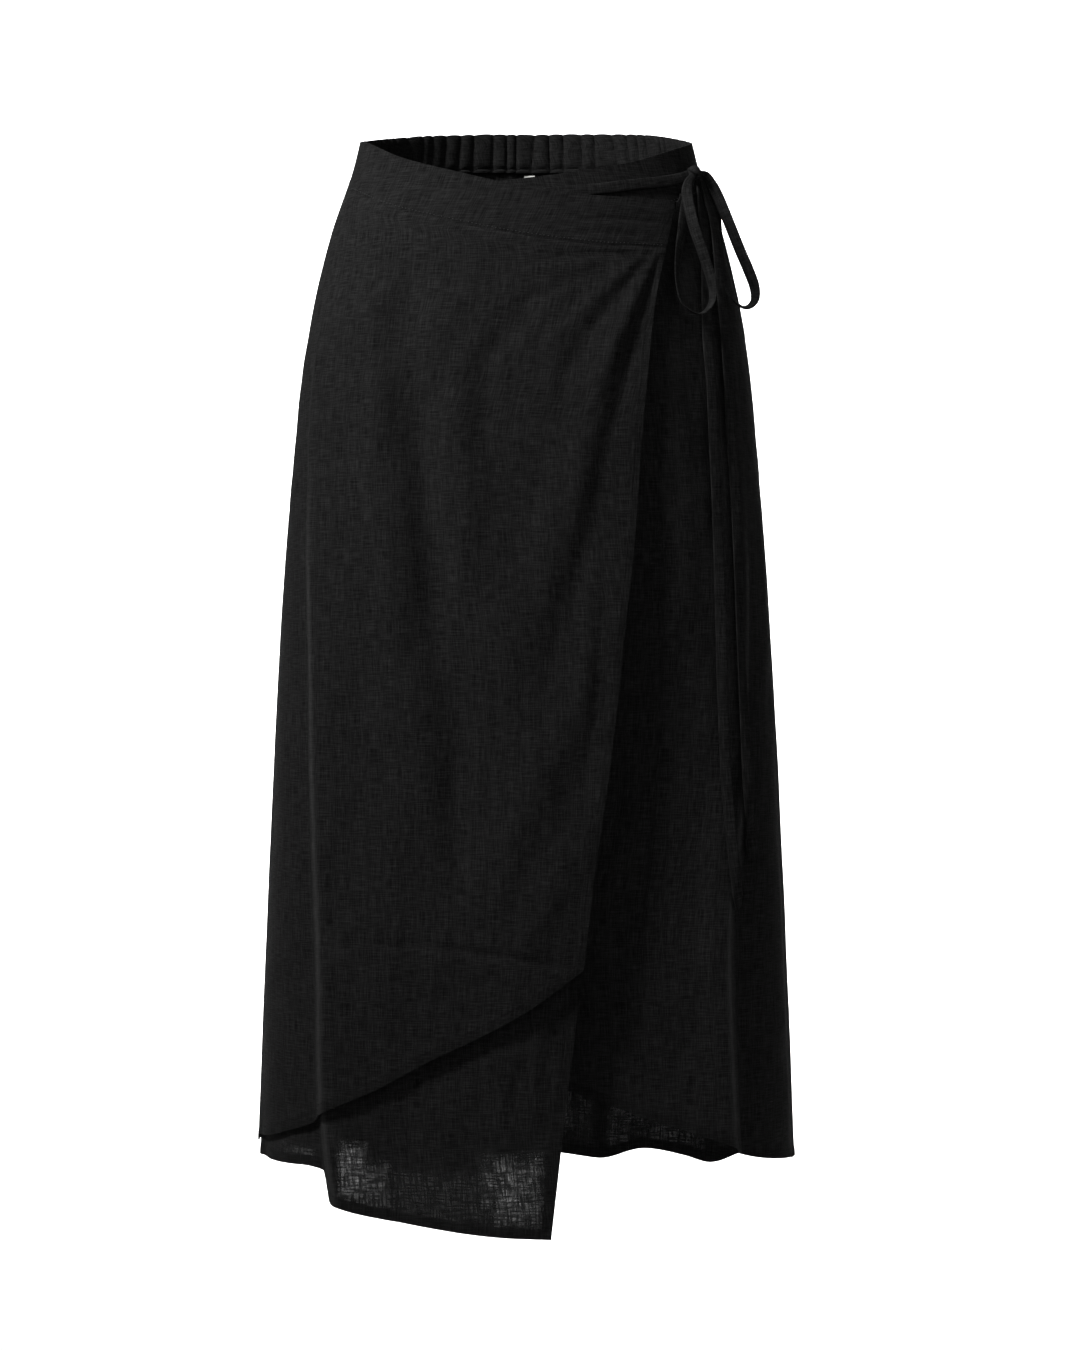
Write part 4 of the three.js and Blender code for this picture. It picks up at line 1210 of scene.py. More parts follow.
@dataclass
class Studio:
    """The pale sweep, the soft lights and the camera at the photograph's angle."""

    camera_place: Place = (0.012, -3.0, -0.4375)
    focal_pixels: float = 3476.0
    frame_height_pixels: float = 1350.0
    sensor: float = 36.0
    far: float = 50.0
    floor: float = -1.35
    wall: float = 4.6  # m behind the skirt
    paper: float = 14.0  # m, the sweep's width
    bend: float = 1.2  # m, the radius between its floor and its wall
    bend_steps: int = 16
    world_light: float = 0.2
    lights: tuple[SoftBox, ...] = (
        SoftBox("key_light", (-1.34, -0.99, 1.42), (0, 0, 0.15), 0.44, 28.0, 90.0),
        SoftBox("fill_light", (0.8, -2.3, 1.2), (0, 0, -0.2), 1.2, 9.0),
        SoftBox("backdrop_light", (0, 1.6, 2.0), (0, 4.2, -0.75), 1.2, 160.0, 90.0),
    )

    def camera(self) -> None:
        """Adds the camera, level and square on to the skirt's front."""
        data = bpy.data.cameras.new("photo_camera")
        data.sensor_width = self.sensor
        data.lens = self.focal_pixels / self.frame_height_pixels * self.sensor
        data.clip_end = self.far
        made = bpy.data.objects.new("photo_camera", data)
        made.location = self.camera_place
        made.rotation_euler = (math.radians(90), 0, 0)
        bpy.context.scene.collection.objects.link(made)
        bpy.context.scene.camera = made

    def sweep(self) -> None:
        """Adds the floor and the backdrop as one bent sheet of paper."""
        bpy.ops.object.select_all(action="DESELECT")
        middle = (0, self.wall - self.paper / 2, self.floor)
        bpy.ops.mesh.primitive_plane_add(size=self.paper, location=middle)
        paper = bpy.context.object
        paper.name = "studio_sweep"
        bpy.ops.object.mode_set(mode="EDIT")
        bpy.ops.mesh.select_all(action="DESELECT")
        bpy.ops.object.mode_set(mode="OBJECT")
        for edge in paper.data.edges:
            edge.select = all(paper.data.vertices[v].co.y > 0 for v in edge.vertices)
        bpy.ops.object.mode_set(mode="EDIT")
        bpy.ops.mesh.select_mode(type="EDGE")
        bpy.ops.mesh.extrude_region_move(TRANSFORM_OT_translate={"value": (0, 0, self.paper / 2)})
        bpy.ops.object.mode_set(mode="OBJECT")
        bend = paper.modifiers.new("bend", "BEVEL")
        bend.width, bend.segments, bend.limit_method = self.bend, self.bend_steps, "ANGLE"
        select_only(paper)
        bpy.ops.object.modifier_apply(modifier="bend")
        smooth(paper)
        paper.data.materials.append(Paper().material())

    def light(self) -> None:
        """Adds the soft boxes and the even light of the room."""
        for box in self.lights:
            data = bpy.data.lights.new(box.name, "AREA")
            data.shape, data.size, data.energy = "SQUARE", box.size, box.power
            data.spread = math.radians(box.spread)
            made = bpy.data.objects.new(box.name, data)
            made.location = box.place
            aim = Vector(box.aimed_at) - Vector(box.place)
            made.rotation_euler = aim.to_track_quat("-Z", "Y").to_euler()
            bpy.context.scene.collection.objects.link(made)
        world = bpy.data.worlds.new("studio")
        world.use_nodes = True
        background = world.node_tree.nodes["Background"]
        background.inputs["Color"].default_value = (1, 1, 1, 1)
        background.inputs["Strength"].default_value = self.world_light
        bpy.context.scene.world = world
        bpy.context.scene.view_settings.view_transform = "Standard"


# Straps


@dataclass
class Strap:
    """A flat tie, sewn as a tube and turned: it has rounded edges and a seam along one of them."""

    name: str
    width: float = STRAP_WIDTH
    thickness: float = STRAP_THICKNESS
    sides: int = 16
    edge: float = 0.7  # how square the section is, 1 for an oval
    seam_place: float = 0.72  # the seam's place across, as a share of the half width
    seam_width: float = 0.09
    seam_depth: float = 0.16
    sharpest: float = 60.0  # degrees, the sharpest edge that is shaded smooth

    def build(self, centre: Array, face: Array, widen: Array, thicken: Array) -> bpy.types.Object:
        """Sweeps the strap along its path.

        Args:
            centre: The path, in mm.
            face: The way that the strap's face looks at each of its points.
            widen: The width there, as a share of the usual one.
            thicken: The thickness there.

        Returns:
            The strap.
        """
        ends = centre[1:2] - centre[:1], centre[-1:] - centre[-2:-1]
        along = unit(np.concatenate([ends[0], centre[2:] - centre[:-2], ends[1]]))
        side = unit(np.cross(along, face))
        out = np.cross(side, along)
        turn = 2 * np.pi * (np.arange(self.sides) + 0.5) / self.sides
        wide = np.sign(np.cos(turn)) * np.abs(np.cos(turn)) ** self.edge
        thick = np.sign(np.sin(turn)) * np.abs(np.sin(turn)) ** self.edge
        seam = 1 - self.seam_depth * np.exp(-(((wide - self.seam_place) / self.seam_width) ** 2))
        sideways = (wide[None] * (self.width / 2) * widen[:, None])[..., None]
        outwards = ((thick * seam)[None] * (self.thickness / 2) * thicken[:, None])[..., None]
        rings = centre[:, None] + side[:, None] * sideways + out[:, None] * outwards
        count = len(centre)
        index = np.arange(count * self.sides).reshape(count, self.sides)
        after = np.roll(index, -1, axis=1)
        faces = quads(index[:-1], after[:-1], after[1:], index[1:]).tolist()
        faces += [index[0][::-1].tolist(), index[-1].tolist()]
        length = distances(centre, 0)
        round_it = np.broadcast_to(wide * self.width / 2, (count, self.sides))
        flat = np.stack([round_it, -np.broadcast_to(length[:, None], round_it.shape)], -1)
        piece = new_object(self.name, rings.reshape(-1, 3), faces, flat.reshape(-1, 2))
        smooth(piece, self.sharpest)
        return piece


@dataclass
class Bow:
    """The waist tie's straps, the bow's two loops, its knot and its two hanging ends."""

    linen: bpy.types.Material
    pinch_length: float = 26.0
    pinch_width: float = 0.58
    pinch_thickness: float = 1.5
    hem_length: float = 14.0
    hem_turn: float = 2.0  # the length over which the hem thickens the tie
    hem_width: float = 1.22
    hem_thickness: float = 1.4
    slack: float = 0.3  # how far the waist tie hangs off its band
    knot_centre: Place = (143.0, -48.0, -11.0)
    knot_size: Place = (13.0, 11.0, 13.0)
    knot_core: Place = (0.92, 0.9, 0.95)  # the core's share of that size
    knot_turns: tuple[tuple[Place, float], ...] = (((0.15, 0.55, 0.35), 0.78), ((1.35, 0.2, -0.5), 0.7))
    knot_turn_thickness: float = 0.24
    knot_cloth: float = 0.03  # m of cloth round the knot, for its weave
    loop_in_knot: float = 0.7  # how far into the knot a loop starts
    tie_in_knot: float = 0.6
    tie_points: int = 121
    loop_points: int = 97
    strap_points: int = 57
    corner_points: int = 25

    def pinched(self, from_knot: Array) -> tuple[Array, Array]:
        """Returns how wide and thick a strap is at a distance from the knot."""
        share = ease(from_knot, 0, self.pinch_length)
        return mix(self.pinch_width, 1, share), mix(self.pinch_thickness, 1, share)

    def strap(self, name: str, node: str, centre: Array, out: Array) -> bpy.types.Object:
        """Makes a strap of even width that replaces a node.

        Args:
            name: The piece's name.
            node: The node that it replaces.
            centre: The strap's path.
            out: The way that its face looks.

        Returns:
            The strap.
        """
        whole = np.ones(len(centre))
        return dress(Strap(name).build(centre, out, whole, whole), self.linen, Slot.LINEN, node)

    def waist_strap(self) -> bpy.types.Object:
        """Makes the strap that lies along the inner waistband.

        Returns:
            The strap.
        """
        angle = np.linspace(WAIST_STRAP.rows[0][0], WAIST_STRAP.rows[-1][0], self.strap_points)
        z, lift = (WAIST_STRAP.read("angle", angle, name) for name in ("z", "lift"))
        return self.strap("waist_tie", "waist_strap", *off_surface(inner_band, angle, z, lift + self.slack))

    def corner_strap(self) -> bpy.types.Object:
        """Makes the short strap from the outer waistband's free corner.

        Returns:
            The strap.
        """
        turn = np.linspace(CORNER_STRAP.rows[0][0], CORNER_STRAP.rows[-1][0], self.corner_points)
        z, lift = (CORNER_STRAP.read("turn", turn, name) for name in ("z", "lift"))
        angle = outer_free_edge(np.array(CORNER_STRAP.rows[0][1])) + turn
        return self.strap("corner_tie", "corner_strap", *off_surface(inner_band, angle, z, lift))

    def declare(self, centre: Array) -> None:
        """Works out a strap's length along its path, in m, and keeps nothing.

        Args:
            centre: Its path, in mm.
        """
        float(distances(centre, 0)[-1]) * MM

    def loop(self, name: str, node: str, stops: tuple[tuple[float, ...], ...]) -> bpy.types.Object:
        """Makes one loop of the bow.

        Args:
            name: The piece's name.
            node: The node that it replaces.
            stops: x, y, z and turn of its stops, from the knot and back to it.

        Returns:
            The loop.
        """
        rows = np.array(stops, float)
        inside = mix(rows[[0, -1]], [*self.knot_centre, 0], self.loop_in_knot)
        inside[:, 3] = rows[[0, -1], 3]
        rows = np.concatenate([inside[:1], rows, inside[1:]])
        knots = distances(rows[:, :3], 0)
        fine = np.linspace(0, knots[-1], self.loop_points)
        ends = np.concatenate([2 * rows[:1] - rows[1:2], rows, 2 * rows[-1:] - rows[-2:-1]])
        i = np.clip(np.searchsorted(knots, fine, side="right") - 1, 0, len(rows) - 2)
        t = ((fine - knots[i]) / (knots[i + 1] - knots[i]))[:, None]
        p0, p1, p2, p3 = (ends[i + k] for k in range(4))
        square, cube = 2 * p0 - 5 * p1 + 4 * p2 - p3, 3 * p1 - p0 - 3 * p2 + p3
        curve = 0.5 * (2 * p1 + (p2 - p0) * t + square * t**2 + cube * t**3)
        centre, turn = curve[:, :3], np.radians(curve[:, 3:])
        facing = np.broadcast_to(unit(np.array(LOOP_FACING)), centre.shape)
        side = unit(np.cross(np.gradient(centre, axis=0), facing))
        away = centre - rows[:, :3].mean(0)
        side = side * np.sign((side * away).sum())
        face = facing * np.cos(turn) + side * np.sin(turn)
        length = distances(centre, 0)
        widen, thicken = self.pinched(np.minimum(length, length[-1] - length))
        piece = dress(Strap(name).build(centre, face, widen, thicken), self.linen, Slot.LINEN, node)
        self.declare(centre)
        return piece

    def tie_end(self, name: str, node: str, table: Table) -> bpy.types.Object:
        """Makes one hanging end, down to its hem.

        Args:
            name: The piece's name.
            node: The node that it replaces.
            table: Its stops.

        Returns:
            The tie end.
        """
        top, bottom = table.rows[0][0], table.rows[-1][0]
        z = np.linspace(top, bottom, self.tie_points)
        across, lift, twist = (table.read("z", z, key) for key in TIE_STOPS[1:])
        low, high = np.zeros(len(z)), np.full(len(z), 89.0)
        for _ in range(HALVINGS):
            middle = (low + high) / 2
            inside = off_surface(inner_panel_plain, middle, z, lift)[0][:, 0] < across
            low, high = np.where(inside, middle, low), np.where(inside, high, middle)
        centre, out = off_surface(inner_panel_plain, (low + high) / 2, z, lift)
        cos, sin = np.cos(np.radians(twist)), -np.sin(np.radians(twist))
        x, y, up = out.T
        face = np.stack([x * cos - y * sin, x * sin + y * cos, up], -1)
        hem_from = top - bottom - self.hem_length
        hem = ease(top - z, hem_from - self.hem_turn, hem_from)
        widen, thicken = self.pinched(top - z)
        widen, thicken = widen * mix(1, self.hem_width, hem), thicken * mix(1, self.hem_thickness, hem)
        inside = mix(centre[:1], np.array([self.knot_centre]), self.tie_in_knot)
        centre, face = np.concatenate([inside, centre]), np.concatenate([face[:1], face])
        widen, thicken = np.concatenate([widen[:1], widen]), np.concatenate([thicken[:1], thicken])
        piece = dress(Strap(name).build(centre, face, widen, thicken), self.linen, Slot.LINEN, node)
        self.declare(centre)
        return piece

    def knot(self) -> bpy.types.Object:
        """Makes the knot: a pinched core with two turns of the strap round it.

        Returns:
            The knot.
        """
        centre = Vector(self.knot_centre) * MM
        half = [size / 2 * MM for size in self.knot_size]
        bpy.ops.object.select_all(action="DESELECT")
        bpy.ops.mesh.primitive_uv_sphere_add(segments=48, ring_count=24, radius=1, location=centre)
        core = bpy.context.object
        bpy.ops.object.mode_set(mode="EDIT")
        bpy.ops.mesh.select_all(action="SELECT")
        bpy.ops.transform.resize(value=tuple(size * share for size, share in zip(half, self.knot_core)))
        bpy.ops.object.mode_set(mode="OBJECT")
        turns = []
        for tilt, size in self.knot_turns:
            bpy.ops.object.select_all(action="DESELECT")
            bpy.ops.mesh.primitive_torus_add(
                major_segments=64,
                minor_segments=16,
                major_radius=half[0] * size,
                minor_radius=half[0] * self.knot_turn_thickness,
                location=centre,
                rotation=tilt,
            )
            turn = bpy.context.object
            bpy.ops.object.transform_apply(location=False, rotation=True, scale=False)
            turns.append(turn)
        select_only(core)
        for turn in turns:
            turn.select_set(True)
        bpy.ops.object.join()
        core.name = "bow_knot_turns"
        select_only(core)
        bpy.ops.object.transform_apply(location=True, rotation=True, scale=True)
        core.data.uv_layers[0].name = "cloth"
        for corner in core.data.uv_layers[0].data:
            corner.uv = corner.uv * self.knot_cloth
        smooth(core, ROUND_EDGE)
        return dress(core, self.linen, Slot.LINEN, "bow_knot")

    def build(self) -> None:
        """Builds the straps and the bow."""
        self.tie_end("long_tie_end", "tie_end_long", LONG_TIE_END)
        self.tie_end("short_tie_end", "tie_end_short", SHORT_TIE_END)
        self.loop("front_loop", "bow_loop_front", FRONT_LOOP)
        self.loop("side_loop", "bow_loop_side", SIDE_LOOP)
        self.waist_strap()
        self.corner_strap()
        self.knot()


# Cloth


@dataclass
class Sewing:
    """Rows of short stitches, each row one joined mesh."""

    thread: bpy.types.Material
    length: float = 2.1
    width: float = 0.5
    pitch: float = 3.0
    segments: int = 6
    rings: int = 4
    template: tuple[Array, list] | None = field(default=None, init=False)

    def stitch(self) -> tuple[Array, list]:
        """Models one stitch, long, low and rounded, which is then copied.

        Returns:
            Its points and its faces.
        """
        if self.template is None:
            bpy.ops.object.select_all(action="DESELECT")
            bpy.ops.mesh.primitive_uv_sphere_add(
                segments=self.segments, ring_count=self.rings, radius=0.5, location=(0, 0, 0)
            )
            made = bpy.context.object
            bpy.ops.object.mode_set(mode="EDIT")
            bpy.ops.mesh.select_all(action="SELECT")
            bpy.ops.transform.resize(value=(self.length, self.width, self.width))
            bpy.ops.object.mode_set(mode="OBJECT")
            points = np.array([v.co[:] for v in made.data.vertices])
            self.template = points, [list(p.vertices) for p in made.data.polygons]
            bpy.data.objects.remove(made)
        return self.template

    def row(self, name: str, line: Array, out: Array) -> bpy.types.Object:
        """Sews a row of stitches along a line.

        Args:
            name: The row's name.
            line: The line, in mm.
            out: The way out of the cloth at each of its points.

        Returns:
            The row.
        """
        points, faces = self.stitch()
        spots, along = resample(line, self.pitch)
        axis = 0 if np.ptp(line[:, 2]) < np.ptp(line[:, 0]) else 2
        order = np.argsort(line[:, axis])
        ways = [np.interp(spots[:, axis], line[order, axis], out[order, k]) for k in range(3)]
        normal = unit(np.stack(ways, -1))
        side = unit(np.cross(normal, along))
        normal = np.cross(along, side)
        placed = (
            spots[:, None]
            + points[None, :, :1] * along[:, None]
            + points[None, :, 1:2] * side[:, None]
            + points[None, :, 2:] * normal[:, None]
        )
        count = len(points)
        joined = [[v + k * count for v in face] for k in range(len(spots)) for face in faces]
        piece = new_object(name, placed.reshape(-1, 3), joined)
        smooth(piece, ROUND_EDGE)
        return dress(piece, self.thread, Slot.LINEN)


@dataclass
class Panel:
    """A hanging panel or a front waistband: cloth between two side edges, a top and a hem, in mm."""

    name: str
    node: str
    surface: Surface
    start: Line
    end: Line
    top: Line
    bottom: Line
    columns: tuple[tuple[float, int], ...]
    rows: tuple[tuple[float, int], ...]
    flat: tuple[float, float]
    area: float
    held: Held
    rests_on: tuple[str, ...]
    fold: Line | None = None
    fold_share: float = 1.0
    shell: float = SHELL
    hem_shell: float = HEM_SHELL
    hem: float = 8.5  # width of the hem at the bottom
    start_hem: float = 0.0
    end_hem: float = 0.0
    openings: tuple[tuple[float, ...], ...] = ()
    opening_rim: Span = (0.5, 1.2)  # shares of an opening's half size between which the weave closes
    pucker: float = 0.34
    pucker_lengths: tuple[float, float, float] = (2.9, 17.0, 3.1)
    hem_step: float = 0.42  # how far the turned cloth of a hem raises the face
    hem_softness: float = 0.6
    groove_inset: float = 1.2  # from the hem's inner fold to its stitches
    groove_width: float = 0.9
    top_seam: float = 0.8  # how deep the cloth sinks at the seam along its top
    bottom_seam: float = 0.0
    seam_width: float = 1.8
    highlight_width: float = 3.2  # width of the painted highlight along a fold's crest
    # the drops below the waist over which the painted crest highlight grows
    highlight_drop: Span = (200, 420)
    hem_points: int = 240
    edge_points: int = 260
    stitch_lift: float = 0.05

    def column_angle(self, share: Array, z: Array) -> Array:
        """Places the columns; one of them runs down the long fold's crest.

        Args:
            share: Each column's share of the way across.
            z: Each point's height.

        Returns:
            The angle of each point.
        """
        if self.fold is None:
            return mix(self.start(z), self.end(z), share)
        ridge = self.fold(z)
        before = mix(self.start(z), ridge, share / self.fold_share)
        after = mix(ridge, self.end(z), (share - self.fold_share) / (1 - self.fold_share))
        return np.where(share < self.fold_share, before, after)

    def column_end(self, share: Array, height_at: Line) -> Array:
        """Finds the heights at which columns meet an edge that is given by angle.

        Args:
            share: Each column's share of the way across.
            height_at: The edge's height at an angle.

        Returns:
            The height for each column.
        """
        z = np.broadcast_to(height_at(np.zeros(1)), share.shape)
        for _ in range(EDGE_STEPS):
            z = height_at(self.column_angle(share, z))
        return z

    def slope(self, angle: Array, z: Array) -> Array:
        """Works out the cosine of the hem's slant along its points.

        Args:
            angle: Each point's angle round the skirt.
            z: Each point's height.

        Returns:
            The cosine at each point.
        """
        points = place(self.surface, angle, z)
        step = np.gradient(points, axis=0)
        return np.hypot(step[:, 0], step[:, 1]) / np.maximum(np.linalg.norm(step, axis=-1), 1e-6)

    def open_weave(self, across: Array, z: Array) -> Array:
        """Works out how open the weave is.

        Args:
            across: Each point's distance across.
            z: Each point's height.

        Returns:
            The openness at each point, from 0 to 1.
        """
        total = np.zeros(np.broadcast(across, z).shape)
        for x, height, half_width, half_height, amount in self.openings:
            away = np.maximum(np.abs(across - x) / half_width, np.abs(z - height) / half_height)
            total = np.maximum(total, amount * (1 - ease(away, *self.opening_rim)))
        return total

    def build(self, linen: bpy.types.Material) -> bpy.types.Object:
        """Builds the panel's wall, with its turned hems.

        Args:
            linen: The cloth's material.

        Returns:
            The panel.
        """
        share, drop = spread(self.columns), spread(self.rows)
        top, bottom = self.column_end(share, self.top), self.column_end(share, self.bottom)
        z = mix(top[:, None], bottom[:, None], drop[None])
        angle = self.column_angle(share[:, None], z)
        points = place(self.surface, angle, z)
        arc = distances(points, 0)
        to_hem = (z - bottom[:, None]) * self.slope(angle[:, -1], bottom)[:, None]
        turned, groove = np.zeros_like(z), np.zeros_like(z)
        for away, width in ((to_hem, self.hem), (arc, self.start_hem), (arc[-1:] - arc, self.end_hem)):
            if width > 0:
                inner_side, outer_side = width - self.hem_softness, width + self.hem_softness
                turned = np.maximum(turned, 1 - ease(away, inner_side, outer_side))
                off_line = (away - width + self.groove_inset) / self.groove_width
                groove = np.maximum(groove, np.exp(-(off_line**2)))
        across, long, down = self.pucker_lengths
        wobble = 1 + 0.5 * np.sin(arc / across + 2 * np.sin(z / long)) * np.sin(z / down)
        relief = self.hem_step * turned - self.pucker * wobble * groove
        seam = self.top_seam * np.exp(-(((top[:, None] - z) / self.seam_width) ** 2))
        seam = seam + self.bottom_seam * np.exp(-(((z - bottom[:, None]) / self.seam_width) ** 2))
        outer = place(self.surface, angle, z, seam - relief)
        inner = place(self.surface, angle, z, seam + mix(self.shell, self.hem_shell, turned) - relief / 2)
        middle = np.abs(share - 0.5).argmin()
        flat = np.stack([arc - arc[middle : middle + 1], z], -1)
        # painted highlight along the fold's crest, for its sheen and the light through the cloth there,
        # growing lower down
        painted_crest_highlight = np.zeros_like(z)
        if self.fold is not None:
            from_crest = (angle - self.fold(z)) * MM_PER_DEGREE
            painted_crest_highlight = ease(-z, *self.highlight_drop) * np.exp(-((from_crest / self.highlight_width) ** 2))
        marks = {"hem": turned, "open": self.open_weave(points[..., 0], z), "painted_crest_highlight": painted_crest_highlight}
        piece = wall(self.name, outer, inner, flat, marks)
        dress(piece, linen, Slot.LINEN, self.node)
        list(self.rests_on)
        return piece

    def hem_line(self, inside: float, shares: Span = (0.004, 0.996)) -> tuple[Array, Array]:
        """Finds a line along the hem.

        Args:
            inside: How far above the hem it runs.
            shares: Where it starts and ends, as shares of the hem.

        Returns:
            The line, and the way out of the cloth along it.
        """
        share = np.linspace(*shares, self.hem_points)
        bottom = self.column_end(share, self.bottom)
        z = bottom + inside / self.slope(self.column_angle(share, bottom), bottom)
        return off_surface(self.surface, self.column_angle(share, z), z, self.stitch_lift)

    def edge_line(self, inside: float, top: float, bottom: float) -> tuple[Array, Array]:
        """Finds a line down the end edge.

        Args:
            inside: How far in from the edge it runs.
            top: The height at which it starts.
            bottom: The height at which it ends.

        Returns:
            The line, and the way out of the cloth along it.
        """
        z = np.linspace(top, bottom, self.edge_points)
        edge = self.end(z)
        per_degree = np.linalg.norm(place(self.surface, edge - 1, z) - place(self.surface, edge, z), axis=-1)
        return off_surface(self.surface, edge - inside / per_degree, z, self.stitch_lift)


def edge_of(table: Table, below: float = 0.0) -> Line:
    """Returns an edge's height by angle, or a line that far below it."""
    return lambda angle: edge_height(table, angle) - below


@dataclass
class Front:
    """The wrap front: two waistbands, the outer front's two layers and the inner panel."""

    linen: bpy.types.Material
    sewing: Sewing
    band_sewing: Sewing
    band_hem: float = 5.5  # the turning at the outer band's free corner
    edge_hem: float = 6.5
    long_edge_hem: float = 9.0
    inner_hem: float = 8.0
    seam_overlap: float = 0.6  # how far each panel runs up behind its waistband
    right_crest_share: float = 0.36  # the share of the columns before the side fold's crest
    left_crest_share: float = 0.78

    def bands(self) -> list[Panel]:
        """Lists the two front waistbands.

        Returns:
            The waistbands, outer one first.
        """
        common = {
            "rows": ((0, 3), (0.06, 28), (0.92, 5), (1, 0)),
            "held": Held.STRETCHED,
            "rests_on": ("back_waistband",),
            "shell": BAND_SHELL,
            "hem_shell": BAND_SHELL,
            "hem": 0,
            "pucker": 0.2,
            "top_seam": 0.0,
            "bottom_seam": 0.5,
        }
        outer = Panel(
            "outer_waistband_cloth",
            "outer_waistband",
            outer_band,
            right_seam,
            outer_free_edge,
            edge_of(OUTER_BAND_TOP),
            edge_of(OUTER_BAND_TOP, FRONT_BAND_HEIGHT),
            ((0, 130), (0.955, 14), (1, 0)),
            flat=(0.345, 0.042),
            area=0.0144,
            end_hem=self.band_hem,
            **common,
        )
        inner = Panel(
            "inner_waistband_cloth",
            "inner_waistband",
            inner_band,
            inner_free_edge,
            left_seam,
            edge_of(INNER_BAND_TOP),
            edge_of(INNER_BAND_TOP, FRONT_BAND_HEIGHT),
            ((0, 130), (1, 0)),
            flat=(0.30, 0.042),
            area=0.0126,
            **common,
        )
        return [outer, inner]

    def panels(self) -> list[Panel]:
        """Lists the outer front's two layers and the inner panel.

        Returns:
            The panels, outermost first.
        """
        band = FRONT_BAND_HEIGHT - self.seam_overlap
        outer = {
            "start": right_seam,
            "end": outer_free_edge,
            "top": edge_of(OUTER_BAND_TOP, band),
            "columns": ((0, 26), (0.27, 22), (self.right_crest_share, 34), (0.6, 62), (0.975, 12), (1, 0)),
            "fold": right_crest,
            "fold_share": self.right_crest_share,
            "held": Held.HUNG,
            "rests_on": ("outer_waistband_cloth",),
        }
        short = Panel(
            "top_layer_cloth",
            "outer_front_top_layer",
            outer_layers,
            bottom=edge_of(TOP_LAYER_HEM),
            rows=((0, 9), (0.012, 182), (0.982, 10), (1, 0)),
            flat=(0.37, 0.80),
            area=0.245,
            end_hem=self.edge_hem,
            **outer,
        )
        long = Panel(
            "long_layer_cloth",
            "outer_front_long_layer",
            long_layer,
            bottom=edge_of(LONG_LAYER_HEM),
            rows=((0, 9), (0.012, 192), (0.984, 10), (1, 0)),
            flat=(0.37, 0.845),
            area=0.275,
            openings=LONG_LAYER_OPENINGS,
            end_hem=self.long_edge_hem,
            **outer,
        )
        under = Panel(
            "inner_panel_cloth",
            "inner_front_panel",
            inner_panel,
            inner_free_edge,
            left_seam,
            edge_of(INNER_BAND_TOP, band),
            edge_of(INNER_PANEL_HEM),
            ((0, 56), (0.62, 34), (self.left_crest_share, 26), (0.86, 24), (1, 0)),
            ((0, 9), (0.012, 172), (0.982, 9), (1, 0)),
            fold=left_crest,
            fold_share=self.left_crest_share,
            flat=(0.40, 0.81),
            area=0.255,
            held=Held.HUNG,
            rests_on=("inner_waistband_cloth",),
            start_hem=self.edge_hem,
            hem=self.inner_hem,
        )
        return [short, long, under]

    def build(self) -> None:
        """Builds the front and its visible stitching."""
        outer, inner = self.bands()
        short, long, under = self.panels()
        for panel in (outer, inner, short, long, under):
            panel.build(self.linen)
        # each row's distance from its edge, in mm, and the heights of its ends where it runs down an edge
        self.band_sewing.row("band_seam_stitches", *outer.hem_line(2.4))
        self.band_sewing.row("inner_band_seam_stitches", *inner.hem_line(2.4))
        self.sewing.row("band_end_stitches", *outer.edge_line(6.6, -41, -76))
        self.sewing.row("top_layer_hem_stitches", *short.hem_line(7.3))
        self.sewing.row("top_layer_edge_stitches", *short.edge_line(5.3, -86, -676))
        self.sewing.row("long_layer_hem_stitches", *long.hem_line(7.3))
        self.sewing.row("long_layer_edge_stitches", *long.edge_line(7.8, -700, -894))
        self.sewing.row("inner_panel_hem_stitches", *under.hem_line(6.8, (0.3, 0.996)))


